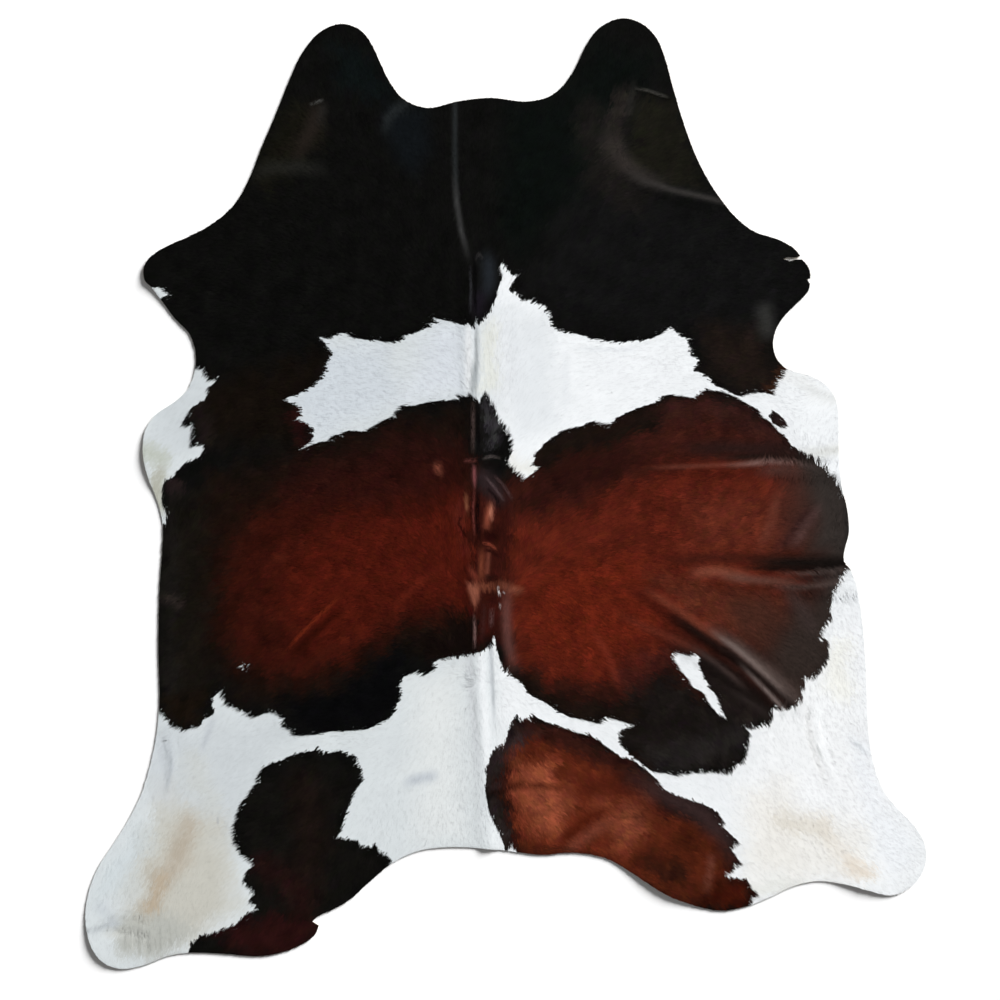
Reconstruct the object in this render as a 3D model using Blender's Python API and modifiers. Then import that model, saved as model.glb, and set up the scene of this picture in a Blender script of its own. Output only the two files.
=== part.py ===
"""A whole cowhide rug lying flat: one tanned hide with its short hair left on.

The hide is one sheet. Its rim is a smooth closed curve through the places that a
cutter would mark, its underside is level on the floor, and a few soft folds, the
raised line of the back and some lifted stretches of rim stand up from that level.

+X is the hide's right side and +Y its narrow end, seen from above. Metres.
"""

import math
from typing import NamedTuple

import bpy
from mathutils import Vector
from mathutils.geometry import delaunay_2d_cdt, intersect_point_line

# ---------------------------------------------------------------- driving sizes
THICKNESS = 0.004         # leather of about 2 mm with its hair pressed flat
RIM_STEP = 0.018          # spacing of the rim's corners
LATTICE_STEP = 0.085      # spacing of the corners where the hide is flat
ROUTE_STEP = 0.032        # spacing of the corners along a fold
ACROSS_FOLD = (-1.0, -0.66, -0.33, 0.0, 0.33, 0.66, 1.0)
RIM_CLEARANCE = 0.014     # no inner corner is nearer to the rim than this
CORNER_CLEARANCE = 0.009  # nor nearer to another inner corner than this
BLEND_POWER = 3.0         # how sharply two folds that meet take the higher of the two
FADE_SHARE = 0.35         # share of a fold's length over which a free end dies out
HAIR_COLOUR = (0.055, 0.024, 0.018, 1.0)
HAIR_ROUGHNESS = 0.55


class Stretch(NamedTuple):
    """A run of the rim, clockwise from above, as (x, y) places on it."""

    name: str
    places: tuple


class Fold(NamedTuple):
    """A soft ridge. It dies out at a free end, and keeps its height where it leaves the rim."""

    name: str
    start: tuple
    middle: tuple
    end: tuple
    height: float
    half_width: float
    leaves_rim: bool


class Lift(NamedTuple):
    """A stretch of rim that stands a little off the floor."""

    name: str
    centre: tuple
    radius: float
    height: float


# The slit runs in from the rim as a narrow notch: its two lips all but meet.
RIM = (
    Stretch("narrow end, left lobe", (
        (-0.540, 1.036), (-0.510, 1.099), (-0.466, 1.152), (-0.412, 1.173), (-0.364, 1.157),
        (-0.337, 1.123), (-0.315, 1.077), (-0.290, 1.026))),
    Stretch("narrow end, bay", (
        (-0.254, 0.983), (-0.195, 0.963), (-0.122, 0.979), (-0.040, 0.988), (0.050, 0.979), (0.104, 0.990))),
    Stretch("narrow end, right lobe", (
        (0.136, 1.012), (0.165, 1.049), (0.210, 1.136), (0.240, 1.168), (0.290, 1.187), (0.338, 1.174),
        (0.374, 1.140), (0.396, 1.090), (0.414, 1.024))),
    Stretch("right shoulder", (
        (0.438, 0.942), (0.475, 0.841), (0.516, 0.764), (0.562, 0.702), (0.616, 0.656), (0.685, 0.632))),
    Stretch("upper right point, its slit and its nick", (
        (0.722, 0.609), (0.735, 0.593), (0.722, 0.589), (0.707, 0.591), (0.692, 0.585), (0.707, 0.579),
        (0.722, 0.584), (0.739, 0.584), (0.754, 0.566), (0.7595, 0.5365), (0.751, 0.534), (0.7585, 0.5225),
        (0.755, 0.506), (0.726, 0.474))),
    Stretch("right hollow", (
        (0.697, 0.445), (0.675, 0.411), (0.667, 0.371), (0.677, 0.335), (0.703, 0.310))),
    Stretch("right flank", (
        (0.750, 0.297), (0.792, 0.277), (0.820, 0.243), (0.830, 0.200), (0.831, 0.120), (0.833, 0.060),
        (0.840, 0.010), (0.853, -0.045), (0.856, -0.095), (0.844, -0.150), (0.845, -0.172), (0.860, -0.190))),
    Stretch("right side", (
        (0.877, -0.240), (0.892, -0.340), (0.900, -0.466), (0.904, -0.590), (0.917, -0.670),
        (0.941, -0.738))),
    Stretch("lower right point", (
        (0.977, -0.786), (1.020, -0.831), (1.046, -0.876), (1.048, -0.925), (1.022, -0.974), (0.967, -1.004),
        (0.906, -0.992), (0.848, -0.977))),
    Stretch("broad end, right of the middle", (
        (0.780, -0.969), (0.720, -0.981), (0.660, -1.009), (0.600, -1.032), (0.535, -1.043), (0.472, -1.030),
        (0.397, -1.001), (0.322, -0.953), (0.252, -0.913), (0.172, -0.898))),
    Stretch("broad end, middle", (
        (0.085, -0.903), (-0.015, -0.891), (-0.140, -0.884), (-0.220, -0.894), (-0.285, -0.924))),
    Stretch("broad end, left of the middle", (
        (-0.345, -0.974), (-0.392, -1.016), (-0.440, -1.043), (-0.470, -1.056), (-0.484, -1.070),
        (-0.468, -1.080), (-0.476, -1.101), (-0.502, -1.122), (-0.553, -1.145), (-0.620, -1.157),
        (-0.702, -1.151), (-0.790, -1.148), (-0.845, -1.156))),
    Stretch("lower left point", (
        (-0.902, -1.178), (-0.960, -1.188), (-1.004, -1.173), (-1.035, -1.134), (-1.050, -1.071),
        (-1.045, -1.003), (-1.020, -0.936), (-0.980, -0.874))),
    Stretch("left side", (
        (-0.940, -0.809), (-0.907, -0.739), (-0.887, -0.671), (-0.873, -0.599), (-0.866, -0.516),
        (-0.869, -0.391), (-0.866, -0.240), (-0.858, -0.079), (-0.870, -0.024))),
    Stretch("left flank", (
        (-0.894, 0.039), (-0.907, 0.104), (-0.900, 0.160), (-0.875, 0.197), (-0.828, 0.229), (-0.795, 0.261),
        (-0.778, 0.306))),
    Stretch("left hollow", (
        (-0.776, 0.352), (-0.792, 0.399), (-0.828, 0.437), (-0.853, 0.471), (-0.885, 0.514))),
    Stretch("upper left point", (
        (-0.902, 0.531), (-0.906, 0.554), (-0.896, 0.582), (-0.858, 0.612), (-0.790, 0.643), (-0.733, 0.674),
        (-0.680, 0.721))),
    Stretch("left shoulder", (
        (-0.643, 0.783), (-0.610, 0.866), (-0.576, 0.946))),
)

FOLDS = (
    #    name                     start            middle           end              height half   leaves rim
    Fold("back line, upper half", (-0.125, 0.960), (-0.090, 0.480), (-0.075, 0.020), 0.005, 0.034, False),
    Fold("back line, lower half", (-0.075, 0.120), (-0.068, -0.380), (-0.045, -0.884), 0.006, 0.034, True),
    Fold("right flank, first", (0.370, 0.052), (0.610, 0.066), (0.833, 0.045), 0.006, 0.030, True),
    Fold("right flank, second", (0.640, -0.125), (0.770, -0.118), (0.855, -0.105), 0.006, 0.032, True),
    Fold("right flank, third", (0.390, -0.215), (0.620, -0.228), (0.872, -0.232), 0.008, 0.034, True),
    Fold("right haunch, long", (0.335, -0.240), (0.535, -0.372), (0.770, -0.555), 0.009, 0.030, False),
    Fold("right haunch, second", (0.300, -0.296), (0.470, -0.405), (0.610, -0.500), 0.004, 0.022, False),
    Fold("right haunch, third", (0.520, -0.395), (0.605, -0.464), (0.690, -0.548), 0.005, 0.018, False),
    Fold("right side crease", (0.775, -0.510), (0.782, -0.620), (0.835, -0.760), 0.004, 0.024, False),
    Fold("narrow end, right lobe", (0.275, 0.970), (0.320, 0.810), (0.540, 0.728), 0.006, 0.034, True),
    Fold("narrow end, right tip", (0.315, 1.010), (0.360, 1.004), (0.417, 0.990), 0.003, 0.022, True),
    Fold("narrow end, left lobe", (-0.465, 0.985), (-0.490, 0.905), (-0.515, 0.800), 0.004, 0.030, False),
    Fold("left flank crease", (-0.400, -0.235), (-0.470, -0.315), (-0.560, -0.410), 0.004, 0.026, False),
    Fold("left side wrinkle", (-0.858, -0.560), (-0.832, -0.645), (-0.845, -0.740), 0.004, 0.020, False),
    Fold("lower left wrinkle", (-1.046, -1.090), (-0.975, -1.075), (-0.905, -1.085), 0.004, 0.022, True),
)

LIFTS = (
    #    name                  centre           radius height
    Lift("left flank", (-0.925, 0.090), 0.130, 0.006),
    Lift("upper left point", (-0.920, 0.530), 0.110, 0.005),
    Lift("upper right point", (0.775, 0.550), 0.100, 0.004),
    Lift("lower left point", (-1.045, -1.150), 0.140, 0.006),
    Lift("broad end, right bay", (0.370, -1.010), 0.150, 0.006),
    Lift("lower right point", (0.890, -1.005), 0.110, 0.006),
    Lift("right side", (0.915, -0.590), 0.100, 0.004),
)


def cleared_scene():
    """Remove whatever the file starts with, and return the hide's own collection."""
    for old in list(bpy.data.objects):
        bpy.data.objects.remove(old, do_unlink=True)
    collection = bpy.data.collections.new("cowhide_rug")
    bpy.context.scene.collection.children.link(collection)
    return collection


def curve_place(before, start, end, after, share):
    """A place on the smooth curve that leaves start and reaches end, share of the way (0 to 1)."""
    knots = [0.0]
    for a, b in ((before, start), (start, end), (end, after)):
        knots.append(knots[-1] + math.sqrt((b - a).length))
    t = knots[1] + share * (knots[2] - knots[1])

    def between(a, b, first, last):
        return a.lerp(b, (t - knots[first]) / (knots[last] - knots[first]))

    near = between(before, start, 0, 1)
    mid = between(start, end, 1, 2)
    far = between(end, after, 2, 3)
    return between(between(near, mid, 0, 2), between(mid, far, 1, 3), 1, 2)


def rim_line():
    """The rim as a closed run of corners, in the places that RIM gives."""
    marks = [Vector(place) for stretch in RIM for place in stretch.places]
    corners = []
    for i, start in enumerate(marks):
        before, end, after = marks[i - 1], marks[(i + 1) % len(marks)], marks[(i + 2) % len(marks)]
        pieces = max(1, round((end - start).length / RIM_STEP))
        corners += [curve_place(before, start, end, after, k / pieces) for k in range(pieces)]
    return corners


def centre_of(corners):
    """The middle of the box around the corners."""
    low = Vector(map(min, zip(*corners)))
    high = Vector(map(max, zip(*corners)))
    return (low + high) / 2


def fold_route(fold):
    """The crest of a fold: a smooth line from its start through its middle to its end."""
    start, middle, end = Vector(fold.start), Vector(fold.middle), Vector(fold.end)
    handle = 2 * middle - (start + end) / 2
    steps = max(4, round((end - start).length / ROUTE_STEP))
    shares = [k / steps for k in range(steps + 1)]
    return [(1 - t) ** 2 * start + 2 * t * (1 - t) * handle + t ** 2 * end for t in shares]


def fold_height(fold, route, place):
    """How far a fold raises the hide at a place."""
    share_there, gap = 0.0, fold.half_width
    for k, (a, b) in enumerate(zip(route, route[1:])):
        along = min(max(intersect_point_line(place, a, b)[1], 0.0), 1.0)
        distance = (place - a.lerp(b, along)).length
        if distance < gap:
            share_there, gap = (k + along) / (len(route) - 1), distance
    rise = math.sin(min(share_there / FADE_SHARE, 1.0) * math.pi / 2)
    fall = 1.0 if fold.leaves_rim else math.sin(min((1.0 - share_there) / FADE_SHARE, 1.0) * math.pi / 2)
    return fold.height * rise * fall * math.cos(gap / fold.half_width * math.pi / 2) ** 2


def lift_height(lift, place):
    """How far a lifted stretch of rim raises the hide at a place."""
    gap = (place - Vector(lift.centre)).length / lift.radius
    return lift.height * math.cos(gap * math.pi / 2) ** 2 if gap < 1.0 else 0.0


def relief(place, routes):
    """The height of the underside above the floor at a place."""
    rises = [fold_height(fold, route, place) for fold, route in zip(FOLDS, routes)]
    rises += [lift_height(lift, place) for lift in LIFTS]
    return sum(rise ** BLEND_POWER for rise in rises) ** (1.0 / BLEND_POWER)


def rim_gap(place, corners):
    """The distance from a place to the rim, negative outside it."""
    gap, inside = math.inf, False
    for a, b in zip(corners, corners[1:] + corners[:1]):
        along = min(max((place - a).dot(b - a) / (b - a).length_squared, 0.0), 1.0)
        gap = min(gap, (place - a.lerp(b, along)).length)
        if (a.y > place.y) != (b.y > place.y):
            crossing = a.x + (place.y - a.y) / (b.y - a.y) * (b.x - a.x)
            inside ^= place.x < crossing
    return gap if inside else -gap


def fold_places(routes):
    """Corners along and across every fold, so that its crest and its feet are in the mesh."""
    for fold, route in zip(FOLDS, routes):
        for k, place in enumerate(route):
            along = (route[min(k + 1, len(route) - 1)] - route[max(k - 1, 0)]).normalized()
            side = Vector((-along.y, along.x))
            for share in ACROSS_FOLD:
                yield place + side * share * fold.half_width


def lattice_places(corners):
    """A regular lattice over the hide, in rows that are offset by half a step."""
    low, high = Vector(map(min, zip(*corners))), Vector(map(max, zip(*corners)))
    row_step = LATTICE_STEP * math.sqrt(3) / 2
    for row in range(int((high.y - low.y) / row_step) + 1):
        shift = LATTICE_STEP / 2 * (row % 2)
        for column in range(int((high.x - low.x) / LATTICE_STEP) + 1):
            yield Vector((low.x + shift + column * LATTICE_STEP, low.y + row * row_step))


def inner_corners(corners, routes):
    """The corners inside the rim: those of the folds first, then the lattice between them."""
    kept = []
    for places, spacing in (
        (fold_places(routes), CORNER_CLEARANCE),
        (lattice_places(corners), LATTICE_STEP / 2),
    ):
        for place in places:
            if rim_gap(place, corners) < max(RIM_CLEARANCE, spacing / 2):
                continue
            if all((place - other).length > spacing for other in kept):
                kept.append(place)
    return kept


def hide_mesh():
    """The hide's underside as an open surface, with its rim, folds and lifts."""
    corners = rim_line()
    routes = [fold_route(fold) for fold in FOLDS]
    places = corners + inner_corners(corners, routes)
    rim_edges = [(k, (k + 1) % len(corners)) for k in range(len(corners))]
    flat, _, faces, _, _, _ = delaunay_2d_cdt(places, rim_edges, [], 1, 1e-6)
    middle = centre_of(corners)
    points = [(place.x - middle.x, place.y - middle.y, relief(place, routes)) for place in flat]
    mesh = bpy.data.meshes.new("hide")
    mesh.from_pydata(points, [], faces)
    mesh.shade_smooth()
    return mesh


def hair_material():
    """Short glossy hair, in the hide's darker colour."""
    material = bpy.data.materials.new("hair")
    material.use_nodes = True
    shader = material.node_tree.nodes["Principled BSDF"]
    shader.inputs["Base Color"].default_value = HAIR_COLOUR
    shader.inputs["Roughness"].default_value = HAIR_ROUGHNESS
    shader.inputs["Metallic"].default_value = 0.0
    return material


def make_hide(collection):
    """The hide: its underside given the thickness of leather and hair, upwards."""
    hide = bpy.data.objects.new("hide", hide_mesh())
    hide.data.materials.append(hair_material())
    collection.objects.link(hide)
    sheet = hide.modifiers.new("leather and hair", "SOLIDIFY")
    sheet.thickness = THICKNESS
    sheet.offset = 1.0
    sheet.use_even_offset = True
    sheet.use_rim = True


make_hide(cleared_scene())
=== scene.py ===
"""The looks of a whole cowhide rug that lies flat with its hair side up.

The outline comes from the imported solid. The folds, the patches of colour and the lie of the
hair are short tables of places, most of them on squared paper laid over the flat hide.
"""

import logging
import math
from dataclasses import dataclass
from enum import Enum

import bpy
import numpy as np
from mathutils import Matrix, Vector
from mathutils.geometry import delaunay_2d_cdt

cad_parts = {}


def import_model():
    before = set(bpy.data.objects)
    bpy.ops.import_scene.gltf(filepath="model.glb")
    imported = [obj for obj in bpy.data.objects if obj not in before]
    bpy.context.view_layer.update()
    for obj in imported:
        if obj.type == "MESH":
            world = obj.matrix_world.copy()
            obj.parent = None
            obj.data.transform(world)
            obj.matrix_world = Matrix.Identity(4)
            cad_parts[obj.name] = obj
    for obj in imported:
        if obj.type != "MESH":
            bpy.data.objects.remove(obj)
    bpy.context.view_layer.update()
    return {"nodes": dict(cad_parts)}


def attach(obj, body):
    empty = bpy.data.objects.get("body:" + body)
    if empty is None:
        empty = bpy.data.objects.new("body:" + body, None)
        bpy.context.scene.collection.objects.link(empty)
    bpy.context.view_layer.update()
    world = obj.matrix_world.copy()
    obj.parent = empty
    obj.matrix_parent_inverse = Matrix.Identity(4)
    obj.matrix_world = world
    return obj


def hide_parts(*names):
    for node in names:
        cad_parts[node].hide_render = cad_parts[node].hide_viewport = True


LOG = logging.getLogger("cowhide_rug")
NODE = "hide"
BODY = "root"
PIGMENT = "pigment"
BAKE_MAP = "OFBake"
STUDIO_LIGHT = 1.06
GLOSS_LIGHT = 0.0026
FAINTEST = 0.0005
TINY = 1e-12

Place = tuple[float, float]
Colour = tuple[float, float, float]
Range = tuple[float, float]
Part = tuple[slice, slice]
Array = np.ndarray
Chance = np.random.Generator
Hair = dict[str, Array]
Socket = bpy.types.NodeSocket


# ------------------------------ squared paper and fields
@dataclass(frozen=True)
class SquaredPaper:
    """Paper with squares of 2.5 mm, laid over the hide to note places as (right, down)."""

    square: float = 0.0025
    middle: Place = (506.0, 493.5)

    def metres(self, places: object) -> Array:
        """Turn places on the paper into metres on the hide.

        Args:
            places: One (right, down) place or several.

        Returns:
            An array with a row (x, y) for each place.
        """
        noted = np.asarray(places, float).reshape(-1, 2)
        return (noted - self.middle) * (self.square, -self.square)


PAPER = SquaredPaper()


class Field:
    """A regular net of points over the hide, on which every measure of it is worked out once."""

    step: float = 0.0025
    low: Place = (-1.10, -1.235)
    counts: tuple[int, int] = (881, 989)
    short_of_last: float = 1.001

    def __init__(self) -> None:
        """Lay out the net."""
        self.x = self.low[0] + self.step * np.arange(self.counts[0])
        self.y = self.low[1] + self.step * np.arange(self.counts[1])
        self.gx, self.gy = np.meshgrid(self.x, self.y)

    def window(self, low: Array, high: Array, reach: float) -> Part:
        """The part of the net within reach of a box.

        Args:
            low: The box's lowest corner.
            high: The box's highest corner.
            reach: How far round the box the part goes, in metres.

        Returns:
            The rows and the columns of that part.
        """
        first = np.floor((np.asarray(low) - reach - self.low) / self.step).astype(int)
        last = np.ceil((np.asarray(high) + reach - self.low) / self.step).astype(int) + 1
        first, last = np.maximum(first, 0), np.maximum(last, 0)
        return slice(first[1], last[1]), slice(first[0], last[0])

    def sample(self, layer: Array, places: Array) -> Array:
        """Read a layer between its points.

        Args:
            layer: Values on the net, with or without channels.
            places: Rows (x, y) in metres.

        Returns:
            The layer's value at each place.
        """
        at = (places[:, :2] - self.low) / self.step
        at = np.clip(at, 0.0, np.array(self.counts) - self.short_of_last)
        whole = at.astype(int)
        share = at - whole
        i, j = whole[:, 0], whole[:, 1]
        fx, fy = share[:, 0], share[:, 1]
        if layer.ndim == 3:
            fx, fy = fx[:, None], fy[:, None]
        near = layer[j, i] * (1 - fx) + layer[j, i + 1] * fx
        far = layer[j + 1, i] * (1 - fx) + layer[j + 1, i + 1] * fx
        return near * (1 - fy) + far * fy

    def gap_to(self, lines: list[Array], reach: float) -> Array:
        """The distance from each point of the net to the nearest of some lines.

        Args:
            lines: Each a run of places in metres.
            reach: Distances past this are left at it.

        Returns:
            The distances, a layer of the net.
        """
        gap = np.full(self.gx.shape, reach)
        for line in lines:
            for a, b in zip(line, line[1:]):
                part = self.window(np.minimum(a, b), np.maximum(a, b), reach)
                gap[part] = np.minimum(gap[part], self.to_stretch(a, b, part)[0])
        return gap

    def to_stretch(self, a: Array, b: Array, part: Part) -> tuple[Array, Array]:
        """How far each point of a part of the net is from a straight stretch.

        Args:
            a: The stretch's start, in metres.
            b: The stretch's end.
            part: The rows and columns of the part.

        Returns:
            The distances, and the share of the stretch at which each is measured.
        """
        px, py = self.gx[part] - a[0], self.gy[part] - a[1]
        run = b - a
        along = np.clip((px * run[0] + py * run[1]) / max(run @ run, TINY), 0.0, 1.0)
        return np.hypot(px - along * run[0], py - along * run[1]), along

    def nearest(self, places: Array, part: Part) -> tuple[Array, Array]:
        """How far each point of a part of the net is from a run of places.

        Args:
            places: The run, in metres.
            part: The rows and columns of the part.

        Returns:
            The distances, and the share of the run at which each is measured.
        """
        shape = self.gx[part].shape
        gap, there = np.full(shape, np.inf), np.zeros(shape)
        for k, (a, b) in enumerate(zip(places, places[1:])):
            distance, along = self.to_stretch(a, b, part)
            there = np.where(distance < gap, (k + along) / (len(places) - 1), there)
            gap = np.minimum(distance, gap)
        return gap, there

    def depth_in(self, places: Array, part: Part) -> Array:
        """How deep each point of a part of the net lies in an area.

        Args:
            places: The area's border, in metres.
            part: The rows and columns of the part.

        Returns:
            The depths in metres, below 0 outside.
        """
        gx, gy = self.gx[part], self.gy[part]
        odd = np.zeros(gx.shape, bool)
        closed = np.vstack((places, places[:1]))
        for a, b in zip(closed, closed[1:]):
            if b[1] != a[1]:
                across = (gy - a[1]) / (b[1] - a[1]) * (b[0] - a[0])
                odd ^= ((gy > a[1]) != (gy > b[1])) & (gx - a[0] < across)
        gap = self.nearest(closed, part)[0]
        return np.where(odd, gap, -gap)

    def inside(self, loops: list[Array]) -> Array:
        """Which points of the net lie inside an odd number of closed loops.

        Args:
            loops: Each a closed run of places in metres.

        Returns:
            True or False for each point.
        """
        turns = np.zeros(self.gx.shape, int)
        for loop in loops:
            for a, b in zip(loop, np.roll(loop, -1, axis=0)):
                rows = np.nonzero((self.y > min(a[1], b[1])) & (self.y <= max(a[1], b[1])))[0]
                if len(rows):
                    across = a[0] + (self.y[rows] - a[1]) / (b[1] - a[1]) * (b[0] - a[0])
                    column = np.ceil((across - self.low[0]) / self.step).astype(int)
                    np.add.at(turns, (rows, np.clip(column, 0, self.counts[0] - 1)), 1)
        return np.cumsum(turns, axis=1) % 2 == 1


WAVE_SIZES: Range = (0.7, 1.6)


def cloud(field: Field, size: float, seed: int, waves: int = 40) -> Array:
    """Soft random values round 0, with a spread of 1.

    Args:
        field: The net they are for.
        size: About how wide a blotch and the gap beside it are together, in metres.
        seed: Which of all such clouds it is.
        waves: How many plain waves make it up.

    Returns:
        A layer of the net.
    """
    rng = np.random.default_rng(seed)
    turn, phase = rng.uniform(0.0, 2 * math.pi, (2, waves, 1))
    pace = 2 * math.pi / (size * rng.uniform(*WAVE_SIZES, (waves, 1)))
    across, up = pace * np.cos(turn) * field.x + phase, pace * np.sin(turn) * field.y
    return (np.cos(up).T @ np.cos(across) - np.sin(up).T @ np.sin(across)) * math.sqrt(2.0 / waves)


def faded(there: Array, fade: float = 0.35) -> Array:
    """Rise softly from 0 at a run's start, where there is 0, to 1 once a share of it has passed."""
    return np.sin(np.minimum(there / fade, 1.0) * math.pi / 2)


def smooth_share(value: Array, start: float, end: float) -> Array:
    """Go softly from 0 at start to 1 at end."""
    share = np.clip((value - start) / (end - start), 0.0, 1.0)
    return share * share * (3.0 - 2.0 * share)


def pointing(angle: Array) -> Array:
    """Steps of length 1 along some angles, rows (x, y)."""
    return np.column_stack((np.cos(angle), np.sin(angle)))


def pigment(colour: object) -> Array:
    """The share of light that hair gives back to look as it should under the studio's light."""
    return np.maximum(linear(colour) - GLOSS_LIGHT, FAINTEST) / STUDIO_LIGHT


def linear(colour: object) -> Array:
    """Turn a colour as seen on a screen, 0 to 255, into amounts of light, by the sRGB curve."""
    seen = np.asarray(colour, float) / 255.0
    return np.where(seen <= 0.04045, seen / 12.92, ((seen + 0.055) / 1.055) ** 2.4)


# ------------------------------ folds and creases
@dataclass(frozen=True)
class Fold:
    """A soft ridge, or a trough if its height is negative. Places and sizes are in metres."""

    name: str
    start: Place
    middle: Place
    end: Place
    height: float
    half_width: float
    leaves_rim: bool = False


@dataclass(frozen=True)
class Lift:
    """A stretch of rim that stands a little off the floor."""

    name: str
    centre: Place
    radius: float
    height: float


def crease(name: str, start: Place, middle: Place, end: Place, height: float, width: float) -> Fold:
    """A fine crease, noted on the squared paper, its height and half width in millimetres."""
    places = [tuple(PAPER.metres(place)[0]) for place in (start, middle, end)]
    return Fold(name, *places, height / 1000, width / 1000)


FOLDS = (
    Fold("back line, upper half", (-0.125, 0.960), (-0.090, 0.480), (-0.075, 0.020), 0.005, 0.034),
    Fold("back line, lower half", (-0.075, 0.120), (-0.068, -0.380), (-0.045, -0.884), 0.006, 0.034, True),
    Fold("right flank, first", (0.370, 0.052), (0.610, 0.066), (0.833, 0.045), 0.006, 0.030, True),
    Fold("right flank, second", (0.640, -0.125), (0.770, -0.118), (0.855, -0.105), 0.006, 0.032, True),
    Fold("right flank, third", (0.390, -0.215), (0.620, -0.228), (0.872, -0.232), 0.008, 0.034, True),
    Fold("right haunch, long", (0.335, -0.240), (0.535, -0.372), (0.770, -0.555), 0.009, 0.030),
    Fold("right haunch, second", (0.300, -0.296), (0.470, -0.405), (0.610, -0.500), 0.004, 0.022),
    Fold("right haunch, third", (0.520, -0.395), (0.605, -0.464), (0.690, -0.548), 0.005, 0.018),
    Fold("right side crease", (0.775, -0.510), (0.782, -0.620), (0.835, -0.760), 0.004, 0.024),
    Fold("narrow end, right lobe", (0.275, 0.970), (0.320, 0.810), (0.540, 0.728), 0.006, 0.034, True),
    Fold("narrow end, right tip", (0.315, 1.010), (0.360, 1.004), (0.417, 0.990), 0.003, 0.022, True),
    Fold("narrow end, left lobe", (-0.465, 0.985), (-0.490, 0.905), (-0.515, 0.800), 0.004, 0.030),
    Fold("left flank crease", (-0.400, -0.235), (-0.470, -0.315), (-0.560, -0.410), 0.004, 0.026),
    Fold("left side wrinkle", (-0.858, -0.560), (-0.832, -0.645), (-0.845, -0.740), 0.004, 0.020),
    Fold("lower left wrinkle", (-1.046, -1.090), (-0.975, -1.075), (-0.905, -1.085), 0.004, 0.022, True),
)

LIFTS = (
    Lift("left flank", (-0.925, 0.090), 0.130, 0.006),
    Lift("upper left point", (-0.920, 0.530), 0.110, 0.005),
    Lift("upper right point", (0.775, 0.550), 0.100, 0.004),
    Lift("lower left point", (-1.045, -1.150), 0.140, 0.006),
    Lift("broad end, right bay", (0.370, -1.010), 0.150, 0.006),
    Lift("lower right point", (0.890, -1.005), 0.110, 0.006),
    Lift("right side", (0.915, -0.590), 0.100, 0.004),
)

CREASES = (
    crease("back, main", (475, 255), (475, 450), (475, 645), -1.6, 5),
    crease("back, right", (506, 440), (509, 545), (507, 652), 1.3, 6),
    crease("back, left", (464, 440), (466, 560), (465, 648), 1.0, 6),
    crease("back, white, first", (472, 650), (473, 700), (480, 745), -1.4, 5),
    crease("back, white, second", (491, 648), (492, 680), (493, 712), -1.1, 4),
    crease("back, band", (475, 322), (474, 352), (476, 388), -1.3, 5),
    crease("haunch, thin", (742, 668), (760, 684), (777, 704), 1.6, 6),
    crease("haunch, low", (700, 668), (735, 690), (770, 712), -1.2, 9),
    crease("flank, upper", (700, 452), (750, 456), (815, 448), -1.5, 10),
    crease("flank, middle", (745, 562), (800, 556), (846, 560), -1.8, 12),
    crease("red, left, slant", (345, 590), (312, 618), (284, 652), 1.4, 8),
    crease("broad end patch, slant", (627, 803), (592, 822), (558, 852), -1.6, 14),
    crease("right point, first", (815, 388), (824, 391), (833, 397), 0.8, 5),
    crease("right point, second", (808, 449), (822, 452), (838, 455), -1.0, 6),
    crease("left leg, slant", (84, 931), (101, 925), (119, 922), -1.1, 6),
    crease("left leg, upper", (170, 745), (172, 768), (166, 792), 0.8, 5),
    crease("right leg, first", (845, 738), (859, 744), (873, 757), 0.9, 5),
    crease("right leg, second", (816, 742), (820, 750), (821, 758), 0.8, 4),
    crease("right leg, third", (870, 795), (876, 801), (881, 811), 0.7, 5),
)


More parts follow.
